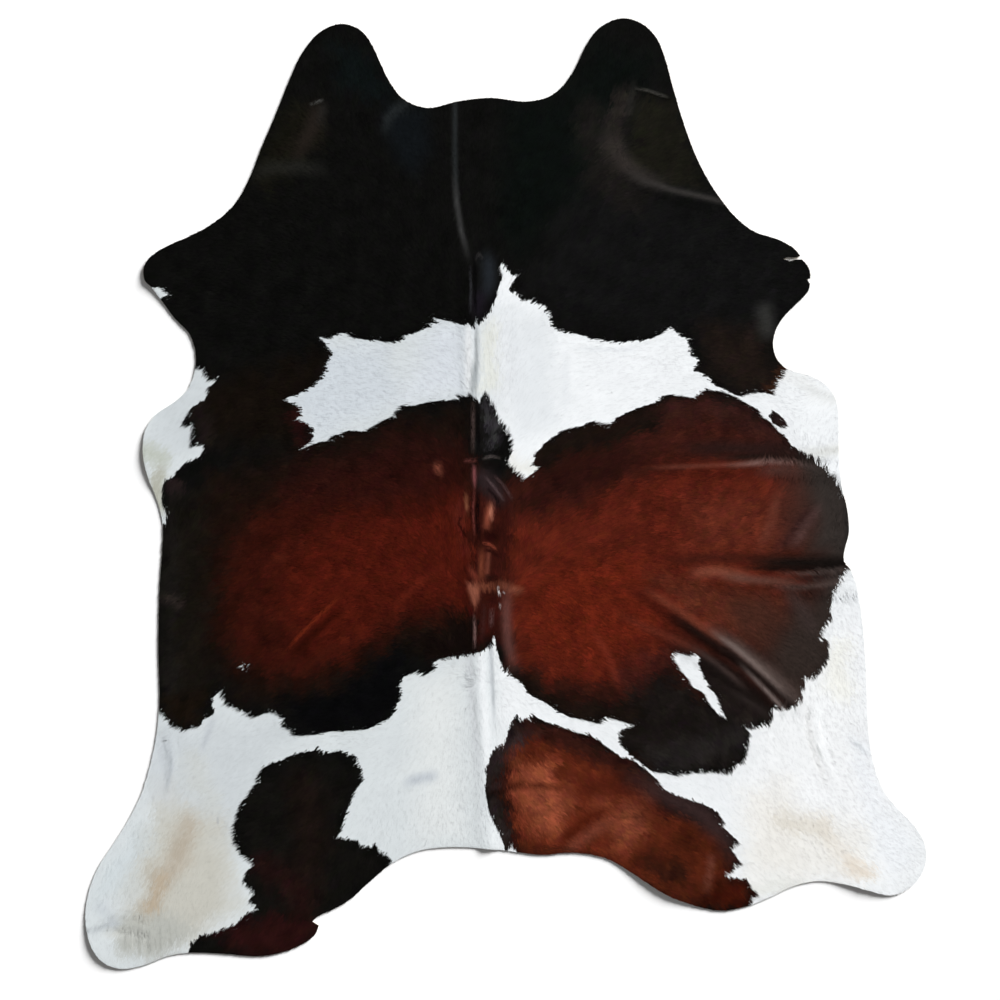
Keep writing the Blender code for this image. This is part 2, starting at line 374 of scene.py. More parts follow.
class Relief:
    """How far the underside stands above the floor, on the net."""

    blend_power: float = 3.0
    route_step: float = 0.012
    crease_share: float = 0.3
    hair_softens: float = 0.13

    def __init__(self, field: Field) -> None:
        """Work out the folds and lifts, where they bend the hide, and how its coat faces."""
        self.field = field
        rises = [self.fold_layer(fold) ** self.blend_power for fold in FOLDS]
        rises += [self.lift_layer(lift) ** self.blend_power for lift in LIFTS]
        self.underside = sum(rises) ** (1.0 / self.blend_power)
        up, across = np.gradient(self.underside, field.step)
        bend = np.gradient(up, field.step, axis=0) + np.gradient(across, field.step, axis=1)
        self.bend = np.abs(bend)
        creases = self.crease_share * sum(self.fold_layer(fold) for fold in CREASES)
        up, across = np.gradient(self.hair_softens * self.underside + creases, field.step)
        self.tilt = -np.dstack((across, up))

    def height_at(self, places: Array) -> Array:
        """The underside's height above the floor at some places."""
        return self.field.sample(self.underside, places)

    def normals(self, places: Array) -> Array:
        """The way the coat faces at some places. Hair bridges the folds, so it turns less."""
        tilt = self.field.sample(self.tilt, places)
        normals = np.column_stack((tilt, np.ones(len(tilt))))
        return normals / np.linalg.norm(normals, axis=1, keepdims=True)

    def fold_layer(self, fold: Fold) -> Array:
        """The height of one fold on the net."""
        start, middle, end = (np.array(place) for place in (fold.start, fold.middle, fold.end))
        handle = 2 * middle - (start + end) / 2
        steps = max(6, round(float(np.linalg.norm(end - start)) / self.route_step))
        shares = np.linspace(0.0, 1.0, steps + 1)[:, None]
        route = (1 - shares) ** 2 * start + 2 * shares * (1 - shares) * handle + shares ** 2 * end
        part = self.field.window(route.min(0), route.max(0), fold.half_width)
        gap, there = self.field.nearest(route, part)
        ends = faded(there) * (1.0 if fold.leaves_rim else faded(1.0 - there))
        layer = np.zeros(self.field.gx.shape)
        across = np.cos(np.minimum(gap / fold.half_width, 1.0) * math.pi / 2) ** 2
        layer[part] = fold.height * ends * across
        return layer

    def lift_layer(self, lift: Lift) -> Array:
        """The height of one lifted stretch of rim on the net."""
        right, up = lift.centre
        gap = np.hypot(self.field.gx - right, self.field.gy - up) / lift.radius
        return lift.height * np.cos(np.minimum(gap, 1.0) * math.pi / 2) ** 2


# ------------------------------ patches
@dataclass(frozen=True)
class Patch:
    """A patch that turns dark hair white, or white hair dark.

    Its drawn line is the border that shows. The closing line runs outside the hide.
    """

    name: str
    drawn: tuple[Place, ...]
    closing: tuple[Place, ...] = ()


def oval(centre: Place, half: Place, turn: float, corners: int = 20) -> tuple[Place, ...]:
    """The places of an oval border.

    Args:
        centre: Its middle on the paper.
        half: Half its length and half its width, in squares.
        turn: How far it leans down to the right, in degrees.
        corners: How many places it has.

    Returns:
        The places in order, the first one again at the end.
    """
    lean = math.radians(turn)
    places = []
    for k in range(corners + 1):
        angle = 2 * math.pi * k / corners
        right, down = half[0] * math.cos(angle), half[1] * math.sin(angle)
        places.append((centre[0] + right * math.cos(lean) - down * math.sin(lean),
                       centre[1] + right * math.sin(lean) + down * math.cos(lean)))
    return tuple(places)


LEFT_RED_LOWER_BORDER = (
    (160, 711), (165, 720), (171, 727), (182, 731), (194, 727), (200, 726), (203, 718), (210, 716),
    (214, 714), (211, 707), (210, 701), (213, 697), (221, 690), (225, 688), (222, 692), (221, 697),
    (224, 705), (234, 709), (243, 714), (255, 717), (265, 713), (270, 712), (279, 715), (281, 720),
    (282, 726), (291, 731), (292, 735), (308, 735), (332, 731), (368, 729), (380, 722), (391, 716),
    (394, 708), (399, 699), (398, 692), (398, 683), (402, 677), (413, 673), (425, 675), (434, 669),
    (432, 665), (434, 661), (446, 656), (458, 653), (473, 652), (486, 648), (491, 643), (494, 632))

RIGHT_RED_LOWER_BORDER = (
    (494, 632), (496, 642), (498, 652), (501, 660), (505, 670), (508, 667), (515, 677), (524, 684),
    (529, 694), (541, 700), (555, 708), (568, 716), (585, 720), (599, 723), (610, 718), (626, 722),
    (640, 727), (629, 728), (620, 733), (624, 737), (621, 741), (625, 748), (632, 755), (640, 762),
    (652, 771), (670, 773), (676, 775), (690, 773), (710, 772), (731, 774), (733, 768), (744, 763),
    (746, 755), (748, 745), (750, 733), (743, 727), (752, 729), (760, 727), (769, 725), (773, 716),
    (771, 712), (775, 709), (788, 710), (795, 708), (803, 697), (800, 690), (805, 686), (803, 682),
    (810, 680), (816, 677), (825, 666), (828, 658), (828, 650), (828, 643), (824, 640), (822, 645),
    (820, 641), (823, 632), (828, 624), (832, 617), (829, 612), (830, 605), (833, 595), (839, 587),
    (843, 577), (848, 570))

BAND_UPPER_BORDER = (
    (297, 409), (291, 404), (286, 402), (281, 400), (288, 397), (293, 396), (300, 392), (307, 388),
    (314, 383), (318, 380), (321, 375), (323, 370), (324, 365), (327, 359), (328, 354), (326, 348),
    (323, 343), (320, 339), (314, 337), (330, 337), (335, 335), (342, 332), (348, 332), (352, 337),
    (362, 339), (378, 340), (385, 342), (397, 341), (401, 336.5), (408, 333.5), (415, 332.5), (420, 329.5),
    (429, 325.5), (424, 323), (434, 323), (430, 316), (437, 318), (446, 319), (456, 323), (467, 322),
    (474, 325), (476, 315), (479, 323), (486, 315), (490, 310), (492, 304), (496, 298), (497, 292),
    (501, 280), (502, 275), (499, 267), (503, 260), (507.5, 266), (513.5, 274), (520.5, 273), (515.5, 279),
    (509.5, 288), (519.5, 292), (525.5, 298), (535.5, 300), (546.5, 305), (552.5, 314), (553.5, 320),
    (555, 326.5), (566, 330.5), (580, 334.5), (592, 337.5), (606, 340.5), (625, 341.5), (640, 339.5),
    (650, 338.5), (661, 333.5), (671, 325), (677, 331), (686, 337), (692, 339), (690, 343), (693, 349),
    (692, 353), (701, 360), (699, 366), (694, 370), (700, 372), (708, 376), (718, 386), (730, 392),
    (740, 396), (750, 393), (764, 392), (772, 395), (777, 387), (778, 381), (784, 375), (786, 369))

BAND_LOWER_BORDER = (
    (297, 409), (300, 413), (294, 420), (307, 426), (311, 429), (309, 433), (312, 437), (308, 442),
    (296, 452), (315, 444), (328, 441), (335, 436), (350, 431), (365, 432), (376, 425), (385, 420),
    (391, 418), (399, 409), (402, 406), (414, 406), (430, 402), (448, 401), (459, 399), (457, 396),
    (470, 395), (474, 398), (480, 402), (485, 392), (490, 400), (495, 408), (500, 420), (507, 428),
    (512, 440), (511, 452), (507, 462), (526, 478.5), (541, 467.5), (535, 463.5), (537, 453.5),
    (546, 442.5), (553, 437.5), (566, 429.5), (580, 427.5), (592, 421.5), (606, 424.5), (613, 424.5),
    (618, 417.5), (628, 412.5), (640, 407.5), (650, 404.5), (660, 401.5), (668, 394.5), (683, 396.5),
    (696, 399.5), (704, 391.5), (720, 391.5), (733, 396), (745.5, 403.5), (756.5, 409.5), (763.5, 419.5),
    (769.5, 421.5), (776.5, 430.5), (785.5, 437.5), (790.5, 445.5), (802.5, 452.5), (807.5, 455.5),
    (812.5, 456.5), (815.5, 463.5), (819.5, 457.5), (821.5, 465.5), (825.5, 462.5), (828.5, 470.5),
    (831, 476), (833, 472), (836, 480), (840, 487), (842, 495))

LEFT_FLANK_BORDER = (
    (196, 368), (203, 371), (203, 375), (208, 381), (212, 380), (218, 379.5), (213, 384), (210, 387),
    (206, 388), (209, 390), (207, 397), (206, 400), (200, 404), (193, 407), (190, 411), (187, 416),
    (184, 420), (182, 425), (187, 427), (191, 426), (192, 430), (191, 438), (190, 447), (194, 446),
    (200, 445), (205, 449), (202, 454), (198, 459), (190, 463), (183, 465), (180, 469), (175, 475),
    (170, 480), (166, 482), (163, 486), (162, 502), (165, 508), (168, 519), (166, 525), (164, 528))

LEFT_SPOT_RIGHT_BORDER = (
    (251, 790), (256, 784), (257, 778), (263, 768), (278, 762.5), (292, 755.5), (310, 751.5), (319, 750.5),
    (321, 754.5), (340, 751.5), (347, 756.5), (353, 756.5), (355, 761.5), (353, 766.5), (360, 770),
    (360, 783), (353, 793), (348, 806), (343, 820), (340, 832), (334, 839.5), (350, 841.5), (358, 843.5),
    (361, 848.5), (369, 849.5), (376, 847.5), (377, 852.5), (386, 858.5), (391, 864.5))

LEFT_SPOT_LEFT_BORDER = (
    (251, 790), (247, 797), (241, 804), (238, 812), (233, 826), (232, 832), (233, 842), (236, 848),
    (240, 855), (250, 863), (252, 867), (246, 872), (243, 882), (250, 891), (253, 896), (249, 900),
    (257, 910), (245, 917), (238, 924), (221, 932), (207, 936), (200, 938), (191, 947), (188, 952))

RIGHT_SPOT_BORDER = (
    (506, 851), (503, 840), (496, 825), (489, 810), (486, 792), (487, 770), (491, 757), (495, 751),
    (504, 748), (506, 741), (510, 730), (517, 717), (520, 723), (528, 720), (532, 724), (534, 716),
    (545, 722), (560, 727), (576, 733), (591, 736), (607, 747), (621, 758), (633, 761), (645, 769),
    (656.5, 779.5), (663.5, 789.5), (677.5, 796.5), (692.5, 801.5), (705.5, 805.5), (717.5, 813.5),
    (724.5, 822.5), (721.5, 826.5), (732.5, 836.5), (738.5, 842.5), (731.5, 850.5), (737.5, 858.5),
    (740.5, 863.5), (732.5, 872.5), (723.5, 878.5), (732.5, 879.5), (748, 882), (753, 891), (758, 894),
    (752, 899), (751, 903))

BLAZE_BORDER = (
    (676, 653), (682, 653), (688, 655), (696.5, 653.5), (700.5, 657.5), (699.5, 664.5), (702.5, 671.5),
    (705.5, 678.5), (710.5, 686.5), (715.5, 693.5), (719.5, 699.5), (723.5, 711.5), (727.5, 719.5),
    (720.5, 717.5), (715.5, 711.5), (709.5, 705.5), (702.5, 692.5), (690, 686), (688, 680), (684, 675),
    (679, 670), (676, 664), (674, 659), (676, 653))

PATCHES = (
    Patch("dark front and flanks", LEFT_RED_LOWER_BORDER + RIGHT_RED_LOWER_BORDER,
          ((910, 570), (910, -20), (50, -20), (50, 711))),
    Patch("white band", BAND_UPPER_BORDER[1:], ((910, 369), (910, 495)) + BAND_LOWER_BORDER[::-1]),
    Patch("white left flank", LEFT_FLANK_BORDER, ((50, 528), (50, 368))),
    Patch("white nick at the left fore point",
          ((152, 288), (156, 287), (161, 287), (163, 290), (168, 294), (169, 296), (164, 297), (162, 299)),
          ((154, 305), (144, 292))),
    Patch("small white mark",
          ((235, 664), (239, 666), (242, 664), (243, 667), (248, 667), (245, 669), (241, 672), (240, 669),
           (235, 664))),
    Patch("white blaze", BLAZE_BORDER),
    Patch("dark oval", oval((778.5, 420.5), (9.0, 4.6), 42.0)),
    Patch("left spot", LEFT_SPOT_RIGHT_BORDER,
          ((400, 880), (345, 925), (330, 960), (300, 985), (188, 990)) + LEFT_SPOT_LEFT_BORDER[::-1]),
    Patch("right spot", RIGHT_SPOT_BORDER, ((751, 960), (506, 900))),
    Patch("white spikes at the right spot's foot",
          ((507.5, 851), (508.5, 845), (510, 849), (512, 843), (514, 849), (516, 846), (517, 852)),
          ((517, 862), (507.5, 862))),
)

EXTRA_BORDERS = (BAND_LOWER_BORDER, LEFT_SPOT_LEFT_BORDER)


# ------------------------------ hair tones, with painted highlights and painted shade
FINE_LINE = 3.0


@dataclass(frozen=True)
class Tone:
    """Another tone of hair over an area, or along a streak if it has a half width.

    Places and sizes are squares of the paper. The colour is as on a screen, 0 to 255. Many
    tones are painted light rather than the hair's own tone: highlights and glints, and painted
    shade along folds, creases and hollows.
    """

    name: str
    places: tuple[Place, ...]
    colour: Colour
    soft: float
    half: float = 0.0
    strength: float = 1.0
    # A sheen lies smoothly over the coat: mostly painted highlights, reflections and painted shade, and a
    # few smooth marks of the coat itself such as scars.
    is_sheen: bool = False

    def is_smooth(self) -> bool:
        """Whether it is a fine line or a sheen, which stay smooth and aren't made blotchy."""
        return self.is_sheen or 0.0 < self.half <= FINE_LINE

    def has_hairs(self) -> bool:
        """Whether it is a line so fine that hairs are laid along it."""
        return self.is_smooth() and not self.is_sheen


def sheen(name: str, places: tuple[Place, ...], colour: Colour, soft: float, half: float = 0.0,
          strength: float = 1.0) -> Tone:
    """A tone that lies smoothly over the others, with no hairs laid along it. Most such tones are
    painted highlights, reflections and painted shade on folds, ridges and creases; a few are
    smooth marks of the coat itself, such as scars.
    """
    return Tone(name, places, colour, soft, half, strength, is_sheen=True)


DARK_GROUND: Colour = (16, 16, 15)
# The white ground is painted darker and cooler left of the back than right of it: painted shade of hair
# that lies away from the light.
WHITE_LEFT: Colour = (213, 219, 221)
WHITE_RIGHT: Colour = (241, 244, 246)

# Painted light here: the sheens, the right lobe's brown column and its line are painted highlights and
# bluish painted reflections on the black hair, and the back's dark crease is painted shade.
FRONT_TONES = (
    Tone("right shoulder", ((570, 180), (720, 210), (795, 255), (800, 300), (765, 340), (700, 335),
         (570, 325), (525, 290), (550, 235)), (19, 19, 19), 25),
    Tone("right neck", ((510, 108), (560, 100), (600, 40), (655, 60), (640, 105), (600, 170), (560, 205),
         (520, 255), (500, 230)), (11, 15, 13), 20),
    Tone("left lobe, top", ((330, 40), (372, 55), (392, 100), (340, 90)), (15, 20, 20), 10),
    Tone("left lobe, olive", ((255, 185), (263, 150), (286, 102), (318, 102), (320, 140), (300, 165),
         (272, 190)), (23, 22, 16), 12),
    sheen("left lobe, brown", ((319, 98), (312, 130), (288, 166)), (40, 34, 30), 10, 6, 0.9),
    Tone("left lobe, line", ((308, 106), (325, 99)), (84, 84, 82), 2, 1.3, 0.9),
    sheen("left lobe, column", ((326, 100), (319, 128)), (40, 38, 36), 5, 2.5, 0.75),
    sheen("left lobe, pale", ((246, 178), (272, 168), (303, 167), (332, 172)), (37, 37, 34), 9, 5, 0.8),
    sheen("neck, blue", ((386, 106), (425, 108), (431, 150), (415, 175), (397, 160), (384, 130)),
          (19, 23, 26), 13, 0, 0.9),
    sheen("neck, blue rim", ((383, 136), (388, 118), (400, 107), (414, 98)), (44, 48, 49), 5, 2.4, 0.85),
    sheen("back line, upper", ((455, 60), (455, 110), (455, 160), (457, 218)), (44, 47, 48), 2.8, 2,
          0.95),
    sheen("back line, bright", ((454, 172), (457, 204), (461, 230), (470, 264)), (64, 64, 64), 3, 2.4,
          0.95),
    Tone("back, dark crease", ((475, 252), (475, 285), (476, 320)), (6, 6, 7), 1.6, 1.0),
    sheen("back, blue", ((484, 248), (489, 266), (489, 284), (484, 302)), (37, 41, 46), 7, 6, 0.95),
    sheen("back, purple", ((481, 288), (477, 320)), (30, 26, 34), 7, 6, 0.85),
    Tone("back, thin line", ((470, 262), (471, 290), (470, 318)), (58, 58, 62), 1.8, 1, 0.9),
    Tone("back, fork", ((475, 262), (479, 253), (484, 262)), (60, 58, 58), 2, 1, 0.8),
    Tone("right lobe, olive", ((640, 92), (672, 99), (690, 150), (704, 188), (662, 182), (632, 164),
         (634, 120)), (26, 25, 19), 7),
    Tone("right lobe, brown column", ((625, 96), (618, 115), (615, 140), (620, 165)), (42, 37, 34), 14, 6,
         0.85),
    sheen("right lobe, column", ((635, 76), (628, 120)), (38, 37, 35), 4, 1.5, 0.7),
    sheen("right lobe, broad ridge", ((604, 124), (616, 156), (638, 176), (672, 190)), (62, 56, 53), 12,
          3.4, 0.7),
    sheen("right lobe, ridge", ((618, 166), (646, 182), (674, 191), (702, 197), (730, 204), (752, 211)),
          (62, 59, 57), 4, 1.4, 0.85),
    Tone("right lobe, line", ((632, 88), (648, 91), (660, 95), (672, 99)), (74, 72, 68), 2, 1.2, 0.9),
    Tone("right shoulder, brown", ((588, 112), (596, 170), (636, 202)), (30, 27, 25), 18, 9, 0.8),
    Tone("right hollow, brown", ((705, 325), (760, 330), (772, 360), (782, 388), (742, 394), (706, 368)),
         (33, 25, 21), 18),
    Tone("right hollow, rim", ((785, 369), (777, 382), (768, 391)), (60, 34, 24), 6, 4, 0.8),
    sheen("right hollow, sheen", ((763, 298), (769, 344)), (58, 58, 56), 9, 6, 0.85),
    Tone("left front flank", ((200, 385), (330, 350), (320, 400), (300, 445), (205, 440)), (22, 17, 13),
         20),
    Tone("left flank, brown", ((200, 408), (205, 440)), (34, 27, 25), 9, 7, 0.8),
    Tone("left band end, maroon", ((294, 416), (303, 432), (305, 445)), (50, 19, 19), 8, 5, 0.75),
)

# Painted light here: the slant's light, second and third are painted highlights along a crease, and its
# shade is painted shade. The scars are the coat's own marks, kept smooth.
LEFT_RED_TONES = (
    Tone("rim, olive", ((165, 510), (215, 490), (212, 690), (165, 700)), (24, 21, 17), 16),
    Tone("brown ground", ((205, 480), (300, 452), (400, 415), (470, 405), (478, 650), (400, 650),
         (330, 700), (240, 700), (205, 650)), (27, 18, 14), 18),
    Tone("far brown", ((214, 640), (214, 560), (240, 505), (268, 560), (256, 650)), (36, 19, 14),
         18),
    Tone("red", ((226, 640), (228, 565), (250, 520), (280, 495), (330, 478), (400, 462), (455, 452),
         (472, 470), (474, 608), (440, 615), (400, 622), (372, 645), (345, 668), (290, 682), (245, 668)),
         (54, 20, 14), 18),
    Tone("red, heart", ((275, 600), (290, 550), (350, 515), (460, 500), (472, 560), (468, 600),
         (400, 608), (365, 636), (310, 652)), (78, 25, 16), 26),
    Tone("red, by the back", ((395, 530), (465, 515), (465, 592), (410, 592)), (80, 26, 17), 26, 0,
         0.85),
    Tone("grain", ((292, 462), (345, 452), (400, 430), (458, 440), (458, 480), (400, 500),
         (340, 505), (280, 500)), (46, 19, 16), 17, 0, 0.7),
    sheen("scar", ((437, 460), (439, 477)), (146, 82, 64), 2.2, 2.2, 0.9),
    sheen("second scar", ((268, 558), (290, 557)), (84, 34, 22), 5, 3, 0.6),
    sheen("slant, shade", ((352, 600), (328, 621), (305, 641), (285, 663)), (40, 13, 8), 5, 1.6,
          0.6),
    Tone("slant, light", ((345, 592), (322, 613), (302, 633), (282, 655)), (112, 42, 24), 2.4, 1.2,
         0.9),
    sheen("slant, second", ((440, 566), (414, 588), (390, 610)), (106, 38, 25), 4, 1.4, 0.6),
    sheen("slant, third", ((340, 640), (314, 662), (290, 684)), (62, 25, 17), 4, 1.4, 0.5),
    Tone("rim, grey", ((172, 520), (169, 600), (171, 690)), (28, 26, 24), 9, 6, 0.8),
    Tone("rim, spot", ((166, 598), (178, 607)), (54, 45, 42), 4, 3.4, 0.7),
    Tone("rim, mauve", ((168, 487), (180, 492)), (48, 36, 36), 7, 4, 0.8),
    Tone("foot", ((160, 700), (205, 690), (200, 725), (170, 725)), (28, 20, 14), 10, 0, 0.8),
    Tone("bottom, black", ((288, 702), (330, 694), (365, 670), (395, 646), (405, 665), (398, 700),
         (380, 722), (330, 732), (290, 730)), (12, 12, 13), 12),
    Tone("bottom, by the back", ((415, 640), (445, 630), (478, 622), (478, 650), (430, 665)),
         (22, 15, 13), 7),
)

# Most of these are painted light on the wrinkles of the back line: the creases, the dark hollow and the
# arc, knot and left wrinkle's shades are painted shade; the bright spots, tan streaks, light patch, light
# band, arc, threads and glints are painted highlights. The red ground, the grey, the black and the scars
# are the coat's own.
BACK_TONES = (
    Tone("red ground", ((474, 492), (500, 496), (512, 520), (504, 600), (500, 640), (476, 640)),
         (54, 21, 16), 7),
    Tone("brown line", ((473, 398), (473, 430), (473, 458)), (78, 64, 61), 2.2, 1.8),
    Tone("grey", ((488, 404), (492, 425), (494, 444)), (58, 56, 59), 9, 6, 0.9),
    Tone("black", ((484, 452), (505, 452)), (14, 13, 13), 4, 2, 0.9),
    Tone("crease above", ((478, 400), (479, 455)), (10, 9, 10), 1.8, 0.8, 0.9),
    Tone("scar across", ((481, 460), (491, 456), (503, 459)), (92, 84, 82), 1.8, 1, 0.95),
    Tone("scar across, left", ((463, 461), (479, 460)), (112, 62, 58), 2.6, 1.6, 0.85),
    Tone("under the scar", ((480, 463), (503, 466)), (20, 15, 15), 4, 2.5, 0.8),
    sheen("mauve", ((476, 466), (506, 508)), (56, 42, 44), 10, 7, 0.85),
    Tone("mauve, first", ((483, 474), (495, 488), (506, 504)), (98, 80, 82), 1.8, 1, 0.85),
    Tone("mauve, second", ((492, 473), (504, 486), (515, 503)), (92, 68, 68), 2, 1.2, 0.8),
    Tone("mauve, dark", ((486, 486), (498, 500), (500, 512)), (20, 12, 13), 2, 1, 0.8),
    sheen("pink bead", ((474, 464), (475, 488)), (146, 84, 86), 1.6, 1.5, 0.95),
    sheen("tan bead", ((466, 493), (467, 514)), (132, 84, 60), 1.8, 1.5, 0.9),
    Tone("left wrinkles", ((462, 500), (458, 520), (464, 545)), (96, 37, 28), 5, 3.5, 0.7),
    Tone("left wrinkle", ((462, 512), (459, 524), (466, 538)), (30, 11, 9), 2, 1, 0.7),
    Tone("pink thread", ((475, 484), (473, 510), (475, 540)), (118, 60, 55), 1.8, 1, 0.9),
    Tone("crease", ((479, 488), (477, 515), (479, 545)), (14, 7, 8), 2.2, 1.4, 0.9),
    sheen("bright spot", ((491, 500), (488, 516), (486, 532)), (142, 74, 56), 4, 2.4, 0.95),
    sheen("brightest", ((492, 505), (490, 519)), (196, 128, 104), 2.6, 1.6, 0.95),
    Tone("dark hollow", ((482, 532), (500, 540)), (36, 12, 11), 4, 2.5, 0.8),
    Tone("arc", ((481, 543), (490, 544), (499, 552)), (150, 72, 54), 1.8, 1.2, 0.95),
    Tone("arc shade", ((482, 549), (492, 551), (500, 558)), (40, 14, 12), 1.8, 1, 0.8),
    sheen("tan, left", ((483, 546), (481, 566), (481, 584)), (116, 60, 42), 3.4, 2, 0.9),
    sheen("tan, right", ((489, 545), (488, 564), (486, 582)), (114, 62, 48), 2.8, 1.6, 0.9),
    sheen("tan, low", ((468, 566), (479, 582)), (130, 60, 46), 3.2, 2, 0.9),
    Tone("knot shade", ((484, 577), (498, 578)), (40, 20, 16), 3, 2, 0.8),
    sheen("light patch", ((467, 584), (480, 584), (479, 599), (475, 607), (471, 600)), (152, 90, 71),
          2.5),
    sheen("light band", ((474, 586), (488, 587), (503, 587)), (130, 74, 54), 3, 2, 0.95),
    Tone("dark patch", ((483, 598), (494, 598)), (58, 20, 15), 3, 3, 0.7),
    sheen("pink, right", ((497, 583), (510, 588), (525, 593)), (136, 80, 60), 4, 2.2, 0.9),
    Tone("first thread", ((474, 612), (475, 635), (474, 652)), (134, 104, 100), 1.9, 1.4, 0.95),
    Tone("red thread", ((470, 606), (472, 618)), (92, 24, 22), 2.5, 1.6, 0.7),
    Tone("second thread", ((485, 600), (483, 622), (482, 645)), (66, 38, 36), 3, 2, 0.7),
    Tone("third thread", ((492, 606), (491, 630)), (100, 72, 71), 2.8, 1.9, 0.85),
    Tone("foot", ((482, 640), (490, 636)), (24, 12, 11), 3, 2.5, 0.8),
    sheen("mauve band", ((508, 584), (506, 612), (508, 644), (518, 680)), (104, 67, 62), 6, 3.5, 0.85),
    Tone("first glint", ((498, 586), (499, 592), (500, 597)), (255, 255, 255), 1.4, 1.0),
    Tone("second glint", ((500, 602), (500, 610)), (220, 215, 215), 1.2, 0.7, 0.8),
    Tone("third glint", ((503, 591), (505, 595)), (235, 230, 230), 1.2, 0.8, 0.8),
)
